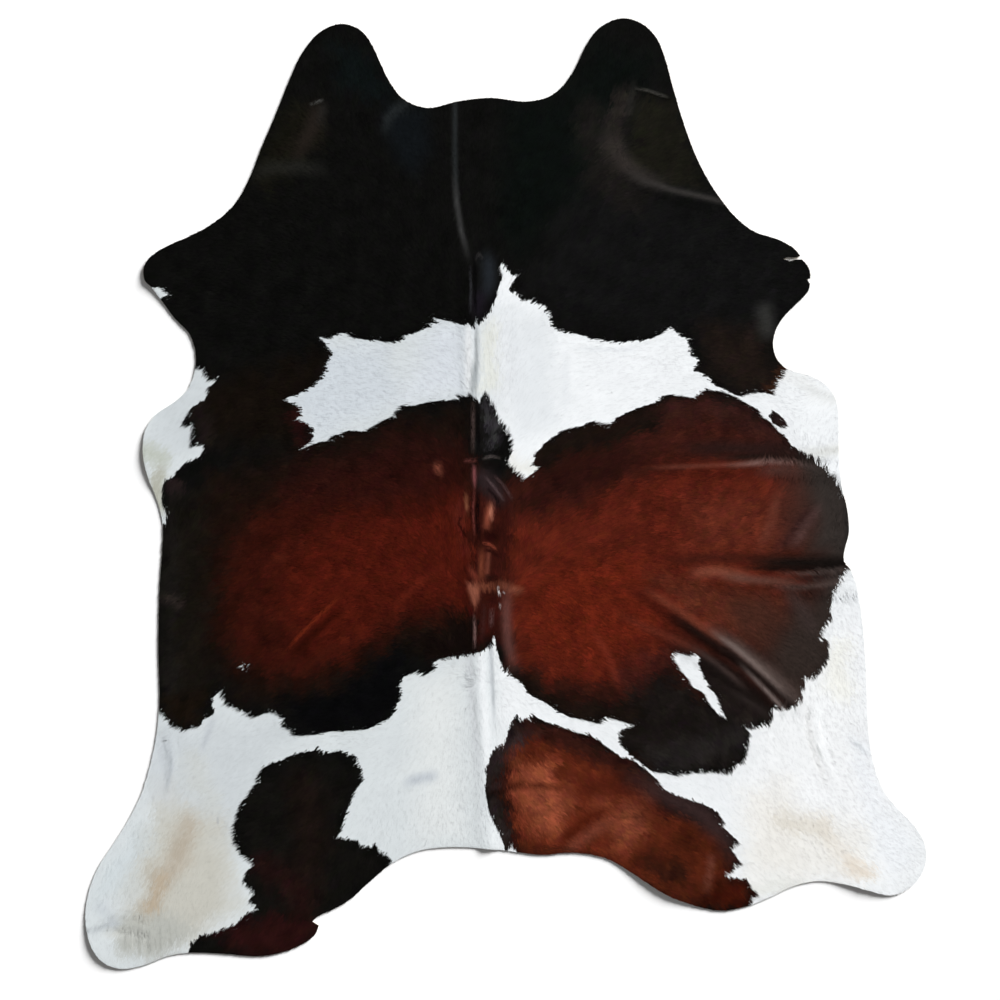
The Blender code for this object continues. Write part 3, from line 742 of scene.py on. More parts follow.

# The sheens on the folds are painted light: their lights, glows and light streaks are painted highlights,
# and their shades and crease are painted shade.
RIGHT_RED_TONES = (
    Tone("brown ground", ((496, 490), (540, 455), (600, 425), (700, 398), (790, 450), (842, 520),
         (835, 620), (800, 700), (740, 700), (640, 700), (560, 705), (503, 650)), (56, 24, 18), 14),
    Tone("red", ((504, 560), (510, 525), (545, 512), (590, 500), (635, 478), (680, 462), (770, 466),
         (800, 490), (802, 556), (790, 620), (740, 645), (660, 655), (640, 672), (600, 686), (550, 684),
         (518, 660), (504, 610)), (88, 32, 21), 17),
    Tone("red, light", ((690, 500), (760, 490), (780, 518), (776, 550), (720, 558), (690, 545)),
         (98, 43, 30), 22, 0, 0.85),
    Tone("red, low", ((525, 600), (560, 560), (640, 555), (660, 630), (600, 668), (540, 655)),
         (99, 34, 20), 24),
    Tone("red, below the fold", ((650, 575), (740, 585), (785, 600), (770, 640), (720, 632),
         (680, 602)), (93, 44, 31), 14),
    Tone("dark corner", ((515, 500), (548, 470), (585, 455), (625, 440), (652, 436), (640, 468),
         (600, 486), (555, 506)), (40, 18, 15), 20, 0, 0.85),
    Tone("upper rim", ((542, 458), (572, 440), (610, 436), (640, 424), (668, 408)), (26, 19, 15),
         11, 12),
    Tone("upper rim, red", ((668, 412), (705, 406), (745, 416), (778, 440)), (56, 29, 25), 12, 12,
         0.9),
    Tone("upper, red", ((640, 445), (700, 432), (745, 440)), (62, 28, 22), 12, 8, 0.8),
    sheen("first fold, shade", ((670, 450), (725, 448), (780, 450), (835, 457)), (42, 27, 25), 8, 5,
          0.85),
    sheen("first fold, deep shade", ((712, 458), (760, 457), (810, 459), (860, 464)), (26, 21, 18), 3,
          1.8, 0.9),
    sheen("first fold, faint light", ((640, 468), (700, 466), (765, 463)), (112, 64, 52), 3, 1.2, 0.6),
    sheen("first fold, light", ((722, 466), (768, 462), (796, 463), (826, 470)), (130, 102, 97), 3, 1.8,
          0.92),
    sheen("first fold, mauve", ((752, 471), (788, 471), (826, 479)), (92, 63, 58), 6, 3.4, 0.7),
    sheen("brown grey", ((786, 468), (818, 478), (822, 512), (815, 548), (776, 550), (780, 508)),
          (68, 44, 38), 24, 0, 0.85),
    sheen("rim, grey, wide", ((806, 466), (830, 462), (856, 500), (856, 553), (808, 553),
          (816, 520), (810, 495)), (54, 49, 46), 16, 0, 0.9),
    sheen("slants", ((790, 552), (805, 527), (824, 500)), (88, 64, 62), 5, 2, 0.8),
    sheen("slants, second", ((757, 556), (771, 522), (779, 488)), (118, 66, 51), 5, 1.6, 0.6),
    sheen("slants, shade", ((778, 556), (794, 530), (812, 504)), (44, 26, 27), 5, 1.8, 0.6),
    sheen("rim, grey", ((800, 440), (826, 478), (840, 510), (842, 545), (838, 580), (828, 612),
          (816, 650), (800, 700)), (54, 48, 45), 22, 7, 0.95),
    sheen("rim, black", ((848, 480), (850, 525), (848, 570)), (38, 36, 35), 6, 3, 0.9),
    sheen("main fold, far shade", ((660, 561), (720, 558), (795, 558)), (60, 27, 20), 6, 2.5, 0.6),
    sheen("main fold, shade", ((742, 564), (790, 563), (840, 563), (895, 565)), (22, 18, 16), 7, 6, 0.97),
    sheen("main fold, crease", ((738, 568), (790, 569), (840, 568), (890, 565)), (18, 14, 13), 2.2, 1.2,
          0.8),
    sheen("main fold, light", ((688, 573), (716, 571), (754, 576)), (134, 76, 59), 7, 3, 0.8),
    sheen("main fold, lower light", ((716, 576), (758, 580), (806, 583)), (96, 64, 55), 6, 2.4, 0.85),
    sheen("main fold, thin light", ((774, 574), (812, 573), (850, 568), (888, 563)), (84, 72, 68), 2.2,
          1.1, 0.85),
    sheen("main fold, line", ((780, 579), (815, 578), (850, 573), (885, 567)), (34, 29, 28), 2, 1.1,
          0.85),
    sheen("main fold, second light", ((766, 588), (804, 587), (838, 582), (874, 575)), (84, 71, 67), 4,
          1.6, 0.75),
    sheen("haunch, grey brown", ((792, 598), (832, 604), (838, 640), (832, 668), (800, 704), (766, 684),
          (764, 650)), (54, 46, 42), 24, 0, 0.92),
    sheen("haunch, mauve", ((782, 584), (802, 608), (816, 640)), (68, 55, 53), 9, 4, 0.6),
    sheen("haunch, brown", ((730, 602), (768, 594), (786, 626), (766, 650), (735, 642)), (66, 41, 33), 14,
          0, 0.75),
    sheen("slant fold, wide shade", ((664, 634), (704, 662), (744, 690), (790, 724)), (30, 24, 22), 12, 8,
          0.95),
    sheen("slant fold, first shade", ((618, 582), (648, 601), (676, 619), (708, 640)), (74, 27, 19), 9,
          2.5, 0.6),
    sheen("slant fold, shade", ((664, 610), (696, 632), (730, 656), (766, 684)), (36, 24, 21), 7, 3.6,
          0.92),
    sheen("slant fold, low shade", ((716, 642), (748, 668), (780, 694), (814, 722)), (28, 21, 19), 4, 2.8,
          0.92),
    sheen("slant fold, light, upper", ((640, 586), (668, 604), (698, 624), (728, 645)), (116, 59, 43), 5,
          2, 0.75),
    sheen("slant fold, glow", ((702, 622), (735, 644), (767, 670), (798, 700), (822, 724)), (80, 68, 64),
          10, 2.6, 0.9),
    sheen("slant fold, light, lower", ((708, 629), (738, 650), (764, 673), (796, 704)), (124, 110, 105),
          4, 1.6, 0.8),
    sheen("slant fold, second light", ((736, 660), (758, 682), (778, 703), (802, 728)), (122, 109, 105),
          2.8, 1.5, 0.95),
    sheen("slant fold, third light", ((612, 610), (648, 629), (682, 643), (714, 658)), (108, 50, 37), 6,
          1.8, 0.55),
    sheen("slant fold, fourth light", ((690, 645), (718, 664), (750, 692)), (68, 55, 52), 4, 1.6, 0.75),
    sheen("haunch, low streaks", ((728, 690), (752, 704), (780, 724)), (48, 41, 39), 4, 2.4, 0.7),
    sheen("red streak", ((590, 626), (609, 656), (621, 696)), (130, 52, 36), 4, 1.6, 0.65),
    Tone("haunch, by the blaze", ((688, 660), (722, 668), (760, 698), (778, 718), (748, 732), (728, 726),
         (702, 684)), (35, 29, 27), 9),
    Tone("haunch, maroon", ((612, 672), (648, 650), (676, 652), (670, 676), (632, 696)), (62, 28, 24), 12,
         0, 0.7),
    Tone("haunch, black", ((622, 704), (655, 680), (676, 672), (705, 705), (742, 728), (742, 772),
         (640, 766), (618, 742), (560, 714)), (28, 24, 22), 12),
    Tone("haunch, lower grey", ((660, 762), (740, 738)), (40, 37, 36), 18, 10, 0.8),
    Tone("lower rim", ((520, 678), (545, 697), (590, 713), (630, 715)), (28, 20, 16), 10, 8, 0.9),
    Tone("lower rim, red brown", ((560, 690), (625, 692)), (52, 26, 20), 9, 4, 0.6),
    Tone("oval", ((771, 415), (779, 417), (786, 426), (778, 425)), (66, 48, 48), 4),
)

LEFT_SPOT_TONES = (
    Tone("ground", ((240, 800), (300, 752), (360, 770), (340, 840), (385, 860), (330, 910), (300, 950),
         (200, 950), (250, 890)), (20, 19, 17), 14),
    Tone("brown", ((304, 790), (310, 840), (302, 905)), (28, 20, 17), 22, 12, 0.8),
    Tone("red", ((262, 866), (288, 880), (300, 900)), (40, 20, 19), 14, 10, 0.7),
    Tone("foot", ((228, 926), (300, 914), (322, 926), (305, 950), (262, 960), (224, 948)), (41, 19, 18),
         9),
    Tone("foot's edge", ((205, 934), (232, 924), (252, 914)), (44, 16, 18), 5, 3.2, 0.7),
)

# Painted light here: the first and second lights and the lights of the streaks and the valley are painted
# highlights, and the dark streak and the valley are painted shade.
RIGHT_SPOT_TONES = (
    Tone("ground", ((492, 770), (515, 728), (560, 735), (620, 765), (665, 800), (722, 830), (740, 870),
         (755, 900), (690, 900), (600, 850), (515, 850)), (56, 24, 18), 12),
    Tone("brown", ((512, 750), (535, 742), (570, 752), (615, 774), (645, 803), (700, 834), (722, 862),
         (718, 896), (680, 900), (640, 886), (600, 864), (560, 860), (524, 858), (511, 815)),
         (98, 41, 25), 10),
    Tone("first light", ((516, 766), (552, 762), (572, 800), (562, 838), (534, 834), (517, 796)),
         (146, 76, 52), 15),
    Tone("second light", ((600, 806), (642, 802), (656, 838), (618, 850)), (126, 65, 45), 18),
    Tone("tuft", ((500, 756), (513, 738), (531, 730)), (50, 40, 41), 10, 8, 0.95),
    Tone("upper rim", ((530, 726), (570, 738), (612, 757), (655, 786)), (56, 27, 21), 12, 5, 0.9),
    Tone("left rim", ((490, 762), (488, 790), (496, 818), (506, 846)), (42, 35, 34), 7, 6, 0.95),
    sheen("dark streak", ((464, 798), (484, 794), (502, 790), (524, 784)), (18, 13, 11), 4, 2.4, 0.97),
    sheen("brown streak", ((486, 790), (512, 786), (540, 785), (572, 790)), (70, 27, 17), 4, 1.2, 0.75),
    sheen("streak's light", ((474, 789), (488, 787), (508, 783)), (60, 50, 52), 3, 1, 0.6),
    sheen("valley light", ((558, 858), (582, 839), (616, 817)), (126, 68, 52), 7, 3, 0.8),
    sheen("valley", ((620, 802), (590, 818), (566, 838), (552, 862)), (78, 28, 16), 6, 2.2, 0.85),
    sheen("second streak", ((566, 790), (610, 786), (650, 800)), (78, 30, 20), 9, 4, 0.6),
    sheen("right rim", ((622, 772), (662, 792), (700, 811), (726, 836), (742, 876)), (62, 45, 44), 14, 6,
          0.9),
    Tone("lower red", ((655, 826), (700, 826), (730, 850), (732, 880), (716, 902), (672, 902), (640, 884),
         (640, 850)), (75, 32, 19), 14, 0, 0.85),
    Tone("low", ((654, 864), (680, 879)), (48, 25, 18), 11, 7, 0.85),
    Tone("lower rim", ((505, 850), (560, 851), (603, 860), (643, 886), (690, 910)), (50, 25, 18), 8, 2.5,
         0.75),
    sheen("light streak", ((713, 850), (710, 872), (704, 896)), (128, 78, 64), 3.4, 1.6, 0.7),
    Tone("end", ((720, 884), (752, 888), (750, 905), (700, 908)), (66, 23, 13), 6, 0, 0.9),
)

DARK_TONES = (FRONT_TONES + LEFT_RED_TONES + RIGHT_RED_TONES + BACK_TONES + LEFT_SPOT_TONES
              + RIGHT_SPOT_TONES)

LEFT_LEG_HAIRS = tuple(
    Tone("left leg, hairs", (top, foot), colour, soft, half, strength)
    for top, foot, colour, soft, half, strength in (
        ((125, 922), (126, 954), (158, 160, 155), 1.4, 0.8, 0.6),
        ((139, 924), (140, 958), (156, 158, 153), 1.4, 0.8, 0.6),
        ((132, 920), (133, 956), (206, 208, 202), 1.4, 0.8, 0.7),
        ((149, 926), (150, 956), (146, 148, 144), 1.6, 1, 0.6),
        ((144, 918), (145, 958), (206, 208, 202), 1.4, 0.8, 0.7),
        ((160, 922), (161, 952), (156, 158, 152), 1.4, 0.8, 0.6),
        ((170, 922), (170, 946), (164, 165, 158), 1.4, 0.8, 0.55)))

# The band's and the broad end's grounds left of the back are painted darker and cooler than those right of
# it: painted shade of hair that lies away from the light. The creases, wrinkles, lines and the right
# point's band are painted shade along folds, the lights are painted highlights, and the far sides of the
# folds are painted lighter against the shade they get. The stains, the grey leg end with its hairs and the
# grey blue spot are the coat's own.
WHITE_TONES = (
    Tone("band, left", ((285, 400), (320, 345), (380, 345), (400, 400), (320, 440)), (208, 215, 221), 20),
    Tone("band, by the back", ((430, 322), (470, 325), (466, 395), (400, 402)), (217, 223, 229), 20),
    Tone("band, warm", ((480, 335), (496, 318), (500, 388), (482, 392)), (230, 232, 223), 8, 0, 0.85),
    Tone("band, middle", ((500, 300), (550, 320), (560, 420), (520, 440), (500, 400)), (227, 231, 234),
         20),
    Tone("band, tip", ((515, 462), (532, 470)), (226, 224, 214), 8, 5, 0.5),
    sheen("band, back, light", ((468, 308), (469, 342), (469, 372), (467, 402)), (244, 246, 247), 4, 2.4,
          0.8),
    sheen("band, back crease", ((473, 306), (477, 340), (477, 366), (474, 398)), (182, 187, 190), 3.2,
          1.4, 0.8),
    sheen("band, back crease, dark", ((475, 358), (474, 378), (472, 398)), (146, 152, 155), 3, 1.6, 0.7),
    Tone("band, back hairs", ((475, 332), (477, 352), (478, 368)), (150, 154, 157), 1.2, 0.5, 0.6),
    sheen("band, line down", ((565, 345), (565, 418)), (224, 228, 232), 4, 1.6, 0.5),
    sheen("band, line across", ((570, 348), (610, 350), (640, 350)), (222, 227, 231), 3, 1, 0.4),
    sheen("band, second line", ((388, 342), (388, 360)), (200, 206, 212), 2.4, 1, 0.6),
    Tone("left flank", ((196, 370), (210, 395), (190, 450), (160, 465), (145, 450), (150, 420)),
         (203, 209, 212), 10),
    Tone("left flank, olive", ((142, 454), (164, 458)), (184, 189, 178), 9, 6, 0.9),
    Tone("left flank, tan", ((156, 474), (159, 490), (158, 504)), (176, 176, 163), 8, 6, 0.95),
    Tone("right point, grey", ((785, 372), (832, 400)), (238, 240, 240), 9, 8, 0.8),
    sheen("right point, crease", ((796, 385), (820, 393), (854, 405)), (214, 217, 216), 3, 1, 0.6),
    sheen("right point, band", ((788, 456), (822, 452), (862, 447)), (214, 215, 210), 5, 2.4, 0.85),
    Tone("broad end, left", ((160, 720), (300, 720), (260, 780), (230, 850), (170, 830), (150, 780)),
         (202, 208, 211), 25),
    Tone("broad end, left, warm", ((192, 764), (210, 800)), (200, 203, 199), 14, 9, 0.6),
    Tone("broad end, by the left leg", ((165, 790), (185, 840)), (198, 198, 192), 16, 8, 0.7),
    Tone("left leg, grey", ((155, 735), (172, 735), (170, 800), (150, 800)), (200, 206, 211), 12, 0, 0.6),
    sheen("left leg, wrinkle", ((168, 738), (172, 764), (166, 794)), (176, 182, 188), 3, 1, 0.6),
    sheen("left leg, second wrinkle", ((159, 738), (164, 768)), (184, 189, 195), 3, 1, 0.5),
    sheen("left foot crease", ((215, 714), (208, 734), (200, 754)), (186, 192, 198), 3.5, 1.5, 0.75),
    Tone("left leg, side", ((100, 870), (140, 830), (165, 830), (130, 890), (95, 910)), (205, 213, 216),
         12),
    Tone("left leg, warm", ((160, 812), (222, 820), (236, 905), (196, 942), (150, 946), (122, 930),
         (132, 888), (148, 850)), (196, 195, 186), 20),
    Tone("left leg, stain", ((187, 830), (178, 856), (163, 880), (148, 910)), (182, 172, 157), 14, 7,
         0.85),
    Tone("left leg, stain, heart", ((184, 836), (174, 862)), (174, 164, 148), 9, 3, 0.5),
    Tone("left leg, stain, foot", ((164, 882), (156, 898), (150, 914)), (186, 168, 144), 9, 4, 0.6),
    Tone("left leg, grey end", ((112, 918), (172, 918), (194, 930), (180, 950), (156, 960), (116, 954)),
         (181, 183, 177), 11, 0, 0.9),
    Tone("left leg, dark hair", ((136, 934), (150, 942)), (172, 173, 167), 9, 5, 0.5),
    *LEFT_LEG_HAIRS,
    sheen("left leg, crease", ((66, 940), (88, 931), (106, 925), (126, 922)), (170, 176, 180), 2.8, 1.1,
          0.8),
    sheen("left leg, far side of the fold", ((100, 934), (126, 932), (154, 938)), (210, 212, 207), 3, 2.6,
          0.8),
    sheen("left leg, blue", ((94, 900), (120, 928)), (192, 199, 205), 7, 3, 0.6),
    Tone("small grey line", ((218, 815), (218, 825)), (166, 170, 174), 1.6, 0.7, 0.8),
    Tone("broad end, middle", ((414, 684), (460, 665), (465, 840), (420, 845), (412, 790)),
         (223, 227, 227), 22),
    sheen("grey blue spot", ((402, 783), (421, 778), (441, 775)), (182, 189, 197), 6, 3, 0.8),
    sheen("faint spot", ((388, 744), (398, 768)), (206, 211, 214), 6, 3, 0.45),
    sheen("lower back, shade", ((464, 600), (470, 670), (476, 740), (482, 805)), (216, 220, 223), 6, 4,
          0.5),
    sheen("lower back, first line", ((466, 612), (470, 665), (474, 715), (480, 775)), (205, 209, 212), 3,
          1.4, 0.8),
    sheen("lower back, light", ((478, 612), (482, 670), (486, 730), (489, 790)), (240, 243, 245), 5, 3,
          0.85),
    sheen("lower back, second line", ((489, 606), (491, 660), (495, 730)), (182, 187, 192), 2.4, 1, 0.85),
    sheen("lower back, across", ((448, 797), (486, 796)), (210, 214, 215), 3.5, 1.2, 0.4),
    Tone("broad end, right", ((770, 700), (850, 630), (876, 770), (915, 850), (890, 885), (800, 870),
         (745, 790)), (245, 247, 248), 25),
    Tone("right leg, plain", ((740, 790), (790, 780), (800, 870), (750, 890)), (243, 243, 240), 18),
    Tone("right leg, beige", ((760, 800), (860, 830), (870, 875), (790, 880), (755, 860)),
         (238, 236, 230), 20, 0, 0.75),
    Tone("right leg, tan", ((788, 821), (824, 831)), (222, 216, 203), 13, 6, 0.65),
    Tone("right leg, peach", ((850, 864), (866, 874)), (227, 215, 199), 10, 5, 0.75),
    Tone("right leg, foot", ((756, 888), (800, 886)), (228, 229, 223), 9, 5, 0.7),
    Tone("right leg, peach, line", ((826, 822), (842, 858)), (232, 225, 214), 10, 4, 0.5),
    Tone("right leg, blue", ((850, 735), (868, 745), (880, 800), (920, 850), (890, 880), (860, 790)),
         (239, 243, 247), 12, 0, 0.7),
    Tone("right leg, wrinkle", ((816, 742), (818, 751), (824, 760)), (206, 209, 209), 1.6, 0.7, 0.7),
    sheen("right side, far side of the fold", ((807, 704), (809, 735), (817, 762), (828, 788)),
          (254, 255, 255), 4, 2.6, 0.9),
    sheen("right leg, wrinkles", ((848, 740), (858, 745), (870, 756)), (218, 224, 229), 3, 1.2, 0.6),
    sheen("right leg, crease", ((768, 765), (776, 785), (774, 808)), (226, 226, 224), 3, 1, 0.5),
    Tone("right side, cream", ((830, 640), (850, 640), (850, 700), (825, 690)), (243, 243, 235), 10, 0,
         0.7),
)


class CoatKind(Enum):
    """The two kinds of hair on the hide."""

    DARK = "dark"
    WHITE = "white"


@dataclass
class Tones:
    """One coat's tones on the net: the ground, and the sheens and fine lines that lie over it. The
    sheens are mostly painted highlights and painted shade, and so are many of the fine lines.
    """

    field: Field
    ground: Array
    sheens: Array
    lines: Array

    def read(self, ground_at: Array, over_at: Array, fine: Array | float = 0.0) -> Array:
        """Read the tones.

        Args:
            ground_at: Where to read the ground, a row for each answer.
            over_at: Where to read what lies over it, a row for each answer.
            fine: 1 where the fine lines show and 0 where they don't.

        Returns:
            Colours as on a screen.
        """
        colour = self.field.sample(self.ground, ground_at)
        for layer, shows in ((self.sheens, 1.0), (self.lines, np.reshape(fine, (-1, 1)))):
            over = self.field.sample(layer, over_at) * shows
            colour = colour * (1 - over[:, 3:]) + over[:, :3]
        return colour


@dataclass(frozen=True)
class Mottle:
    """How unevenly a coat is coloured.

    Blotches are (size, strength) and wanderings of the tones (size, how far), sizes in metres.
    """

    blotches: tuple[tuple[float, float], ...]
    wanderings: tuple[tuple[float, float], ...]
    hue: float
    seed: int
    hue_way: Colour = (0.0, 1.0, -0.6)
    least: float = 0.3


DARK_MOTTLE = Mottle(((0.080, 0.055), (0.034, 0.055), (0.015, 0.035)), ((0.070, 0.006), (0.028, 0.003)),
                     hue=0.03, seed=70)
WHITE_MOTTLE = Mottle(((0.120, 0.003), (0.045, 0.003), (0.018, 0.002)), ((0.090, 0.005),),
                      hue=0.0, seed=90)


class Pattern:
    """Where the hair is dark, where it is white, and its tone at every point of the net."""

    reach: float = 0.06
    border_dark: Range = (0.0, 0.010)
    border_keeps: float = 0.85
    white_turn: Range = (-0.09, 0.02)

    def __init__(self, field: Field) -> None:
        """Work out the patches and both coats' tones."""
        self.field = field
        loops = [PAPER.metres(patch.drawn + patch.closing) for patch in PATCHES]
        lines = [PAPER.metres(patch.drawn) for patch in PATCHES]
        lines += [PAPER.metres(border) for border in EXTRA_BORDERS]
        gap = field.gap_to(lines, self.reach)
        self.depth = np.where(field.inside(loops), gap, -gap)
        self.dark = self.dark_tones()
        self.white = self.white_tones()

    def depth_at(self, places: Array) -> Array:
        """How deep some places lie in the dark hair, in metres, below 0 in the white."""
        return self.field.sample(self.depth, places)

    def share_of(self, tone: Tone) -> tuple[Part, Array]:
        """The part of the net that a tone covers, and its share at each point there."""
        places = PAPER.metres(tone.places)
        half, soft = tone.half * PAPER.square, tone.soft * PAPER.square
        part = self.field.window(places.min(0), places.max(0), half + soft)
        if not half:
            share = smooth_share(self.field.depth_in(places, part), -soft, soft)
        else:
            gap, there = self.field.nearest(places, part)
            share = smooth_share(half - gap, -soft, min(soft, half))
            share *= faded(there) * faded(1.0 - there) if tone.is_smooth() else 1.0
        return part, (tone.strength * share)[..., None]

    def toned(self, ground: Array, tones: tuple[Tone, ...], mottle: Mottle) -> Tones:
        """Lay soft areas of tone over a ground, make them uneven, and keep the smooth ones apart.

        Args:
            ground: The ground's colour at each point, as on a screen.
            tones: The tones, the lowest first.
            mottle: How uneven they get.

        Returns:
            The coat's tones.
        """
        colour = ground.copy()
        sheens, lines = np.zeros((2, *ground.shape[:2], 4))
        for tone in tones:
            part, share = self.share_of(tone)
            if tone.is_smooth():
                layer = lines if tone.has_hairs() else sheens
                over = np.dstack((np.array(tone.colour) * share, share))
                layer[part] = layer[part] * (1 - share) + over
            else:
                colour[part] = colour[part] * (1 - share) + np.array(tone.colour) * share
        return Tones(self.field, self.uneven(colour, mottle), sheens, lines)

    def uneven(self, colour: Array, mottle: Mottle) -> Array:
        """Let tones wander and make them blotchy.

        Args:
            colour: The colour at each point.
            mottle: How uneven it gets.

        Returns:
            The colour at each point.
        """
        seed = mottle.seed
        away = np.zeros((*self.field.gx.shape, 2))
        for size, far in mottle.wanderings:
            away += far * np.dstack([cloud(self.field, size, seed + k) for k in (1, 2)])
            seed += 2
        places = np.dstack((self.field.gx, self.field.gy)) + away
        colour = self.field.sample(colour, places.reshape(-1, 2)).reshape(colour.shape)
        blotch = sum(strength * cloud(self.field, size, seed + k + 1)
                     for k, (size, strength) in enumerate(mottle.blotches))
        hue = mottle.hue * cloud(self.field, mottle.blotches[1][0], seed + len(mottle.blotches) + 1)
        change = 1.0 + blotch[..., None] + hue[..., None] * mottle.hue_way
        return colour * np.maximum(change, mottle.least)

    def dark_tones(self) -> Tones:
        """The dark hair's tones: near-black towards a patch's border."""
        ground = np.broadcast_to(np.array(DARK_GROUND, float), (*self.depth.shape, 3))
        tones = self.toned(ground, DARK_TONES, DARK_MOTTLE)
        inner = smooth_share(np.abs(self.depth), *self.border_dark)[..., None]
        share = self.border_keeps + (1.0 - self.border_keeps) * inner
        tones.ground = ground * (1 - share) + tones.ground * share
        return tones

    def white_tones(self) -> Tones:
        """The white hair's tones: darker and cooler on the left of the back than on its right, a
        painted shade of hair that lies away from the light.
        """
        share = smooth_share(self.field.gx, *self.white_turn)[..., None]
        ground = np.array(WHITE_LEFT) * (1 - share) + np.array(WHITE_RIGHT) * share
        return self.toned(ground, WHITE_TONES, WHITE_MOTTLE)


# ------------------------------ lie of the hair
@dataclass(frozen=True)
class Lie:
    """The way the hair points at a place on the paper: 0 is right, 90 is towards the narrow end."""

    place: Place
    degrees: float


LIES = tuple(Lie((right, down), degrees) for right, down, degrees in (
    (475, 120, 92), (475, 220, 92), (478, 330, 90), (476, 430, 92), (478, 540, 90), (478, 640, 90),
    (478, 740, 268), (478, 830, 268), (420, 150, 130), (350, 70, 105), (300, 170, 170), (230, 260, 185),
    (170, 255, 195), (400, 280, 150), (300, 320, 180), (400, 370, 174), (300, 420, 185), (190, 420, 222),
    (420, 470, 160), (330, 520, 185), (200, 395, 228), (185, 465, 228), (166, 510, 262), (452, 323, 180),
    (432, 329, 182), (452, 400, 182), (420, 406, 184), (375, 430, 188), (400, 692, 198), (350, 730, 188),
    (305, 735, 200), (220, 560, 200), (420, 600, 175), (320, 680, 215), (220, 700, 225), (420, 700, 240),
    (330, 770, 225), (250, 820, 205), (150, 800, 240), (120, 920, 235), (260, 920, 230), (400, 830, 250),
    (530, 150, 55), (620, 60, 80), (640, 180, 15), (740, 260, 355), (790, 270, 350), (530, 300, 50),
    (620, 330, 15), (560, 380, 30), (700, 380, 340), (781, 380, 345), (778, 421, 318), (815, 430, 60),
    (560, 480, 20), (680, 500, 355), (800, 520, 350), (560, 620, 330), (680, 640, 330), (800, 650, 320),
    (560, 720, 335), (660, 760, 330), (740, 760, 300), (560, 800, 320), (680, 840, 330), (800, 800, 305),
    (880, 860, 320), (720, 890, 320), (497, 275, 72), (510, 285, 58), (537, 302, 35), (552, 316, 5),
    (590, 337, 352), (695, 355, 0), (655, 400, 15), (580, 425, 22), (795, 444, 145), (813, 457, 105),
    (833, 475, 70), (846, 525, 95), (838, 600, 290), (812, 690, 280), (487, 398, 78), (468, 397, 125),
    (503, 416, 55), (511, 440, 42), (150, 936, 268), (136, 936, 266),
))


class Grain:
    """The direction in which the hair points, at every point of the net."""

    power: float = 3.0
    softness: float = 0.02

    def __init__(self, field: Field) -> None:
        """Blend the noted directions, the nearer ones counting for more."""
        total = np.zeros((*field.gx.shape, 2))
        for lie in LIES:
            place = PAPER.metres(lie.place)[0]
            gap = np.hypot(field.gx - place[0], field.gy - place[1]) + self.softness
            angle = math.radians(lie.degrees)
            way = np.array([math.cos(angle), math.sin(angle)])
            total += (gap ** -self.power)[..., None] * way
        self.way = total / np.maximum(np.linalg.norm(total, axis=2, keepdims=True), TINY)


# ------------------------------ finishes
@dataclass(frozen=True)
class Noise:
    """An uneven look: blotches to a metre, how many finer layers, and how strong those are."""

    scale: float
    detail: float
    roughness: float


class Nodes:
    """A material's node tree with short ways to add to it."""

    def __init__(self, name: str) -> None:
        """Start a material that holds only its shader and output."""
        self.material = bpy.data.materials.new(name)
        self.material.use_nodes = True
        self.tree = self.material.node_tree
        self.shader = self.tree.nodes["Principled BSDF"]

    def add(self, kind: str, **values: object) -> bpy.types.Node:
        """Add a node and set its own values.

        Args:
            kind: The node's type.
            **values: Properties of the node, or its sockets by name.

        Returns:
            The node.
        """
        node = self.tree.nodes.new(kind)
        for name, value in values.items():
            if hasattr(node, name):
                setattr(node, name, value)
            else:
                node.inputs[name.replace("_", " ")].default_value = value
        return node

    def link(self, start: Socket, end: Socket) -> None:
        """Join an output to an input."""
        self.tree.links.new(start, end)

    def set(self, **values: object) -> None:
        """Set the shader's own sockets, named with underscores for spaces."""
        for name, value in values.items():
            self.shader.inputs[name.replace("_", " ")].default_value = value

    def noise(self, noise: Noise) -> Socket:
        """Add noise that stays with the piece, with values from 0 to 1."""
        node = self.add("ShaderNodeTexNoise", Scale=noise.scale, Detail=noise.detail,
                        Roughness=noise.roughness)
        self.link(self.add("ShaderNodeTexCoord").outputs["Object"], node.inputs["Vector"])
        return node.outputs["Fac"]

    def around(self, amount: Socket, middle: float, either_way: float) -> Socket:
        """Turn values from 0 to 1 into values either way of a middle."""
        node = self.add("ShaderNodeMapRange", To_Min=middle - either_way, To_Max=middle + either_way)
        self.link(amount, node.inputs["Value"])
        return node.outputs["Result"]

    def bump(self, height: Socket, strength: float, distance: float) -> None:
        """Give the surface small heights, from 0 to a distance in metres."""
        node = self.add("ShaderNodeBump", Strength=strength, Distance=distance)
        self.link(height, node.inputs["Height"])
        self.link(node.outputs["Normal"], self.shader.inputs["Normal"])


def ramp(tree: bpy.types.NodeTree, amount: Socket, *stops: tuple[float, Colour]) -> Socket:
    """Add a ramp between two colours.

    Args:
        tree: The node tree that gets it.
        amount: What it reads, from 0 to 1.
        stops: Where each colour is reached, and the colour as amounts of light.

    Returns:
        The ramp's colour.
    """
    node = tree.nodes.new("ShaderNodeValToRGB")
    for element, (position, colour) in zip(node.color_ramp.elements, stops):
        element.position, element.color = position, (*colour, 1.0)
    tree.links.new(amount, node.inputs["Fac"])
    return node.outputs["Color"]


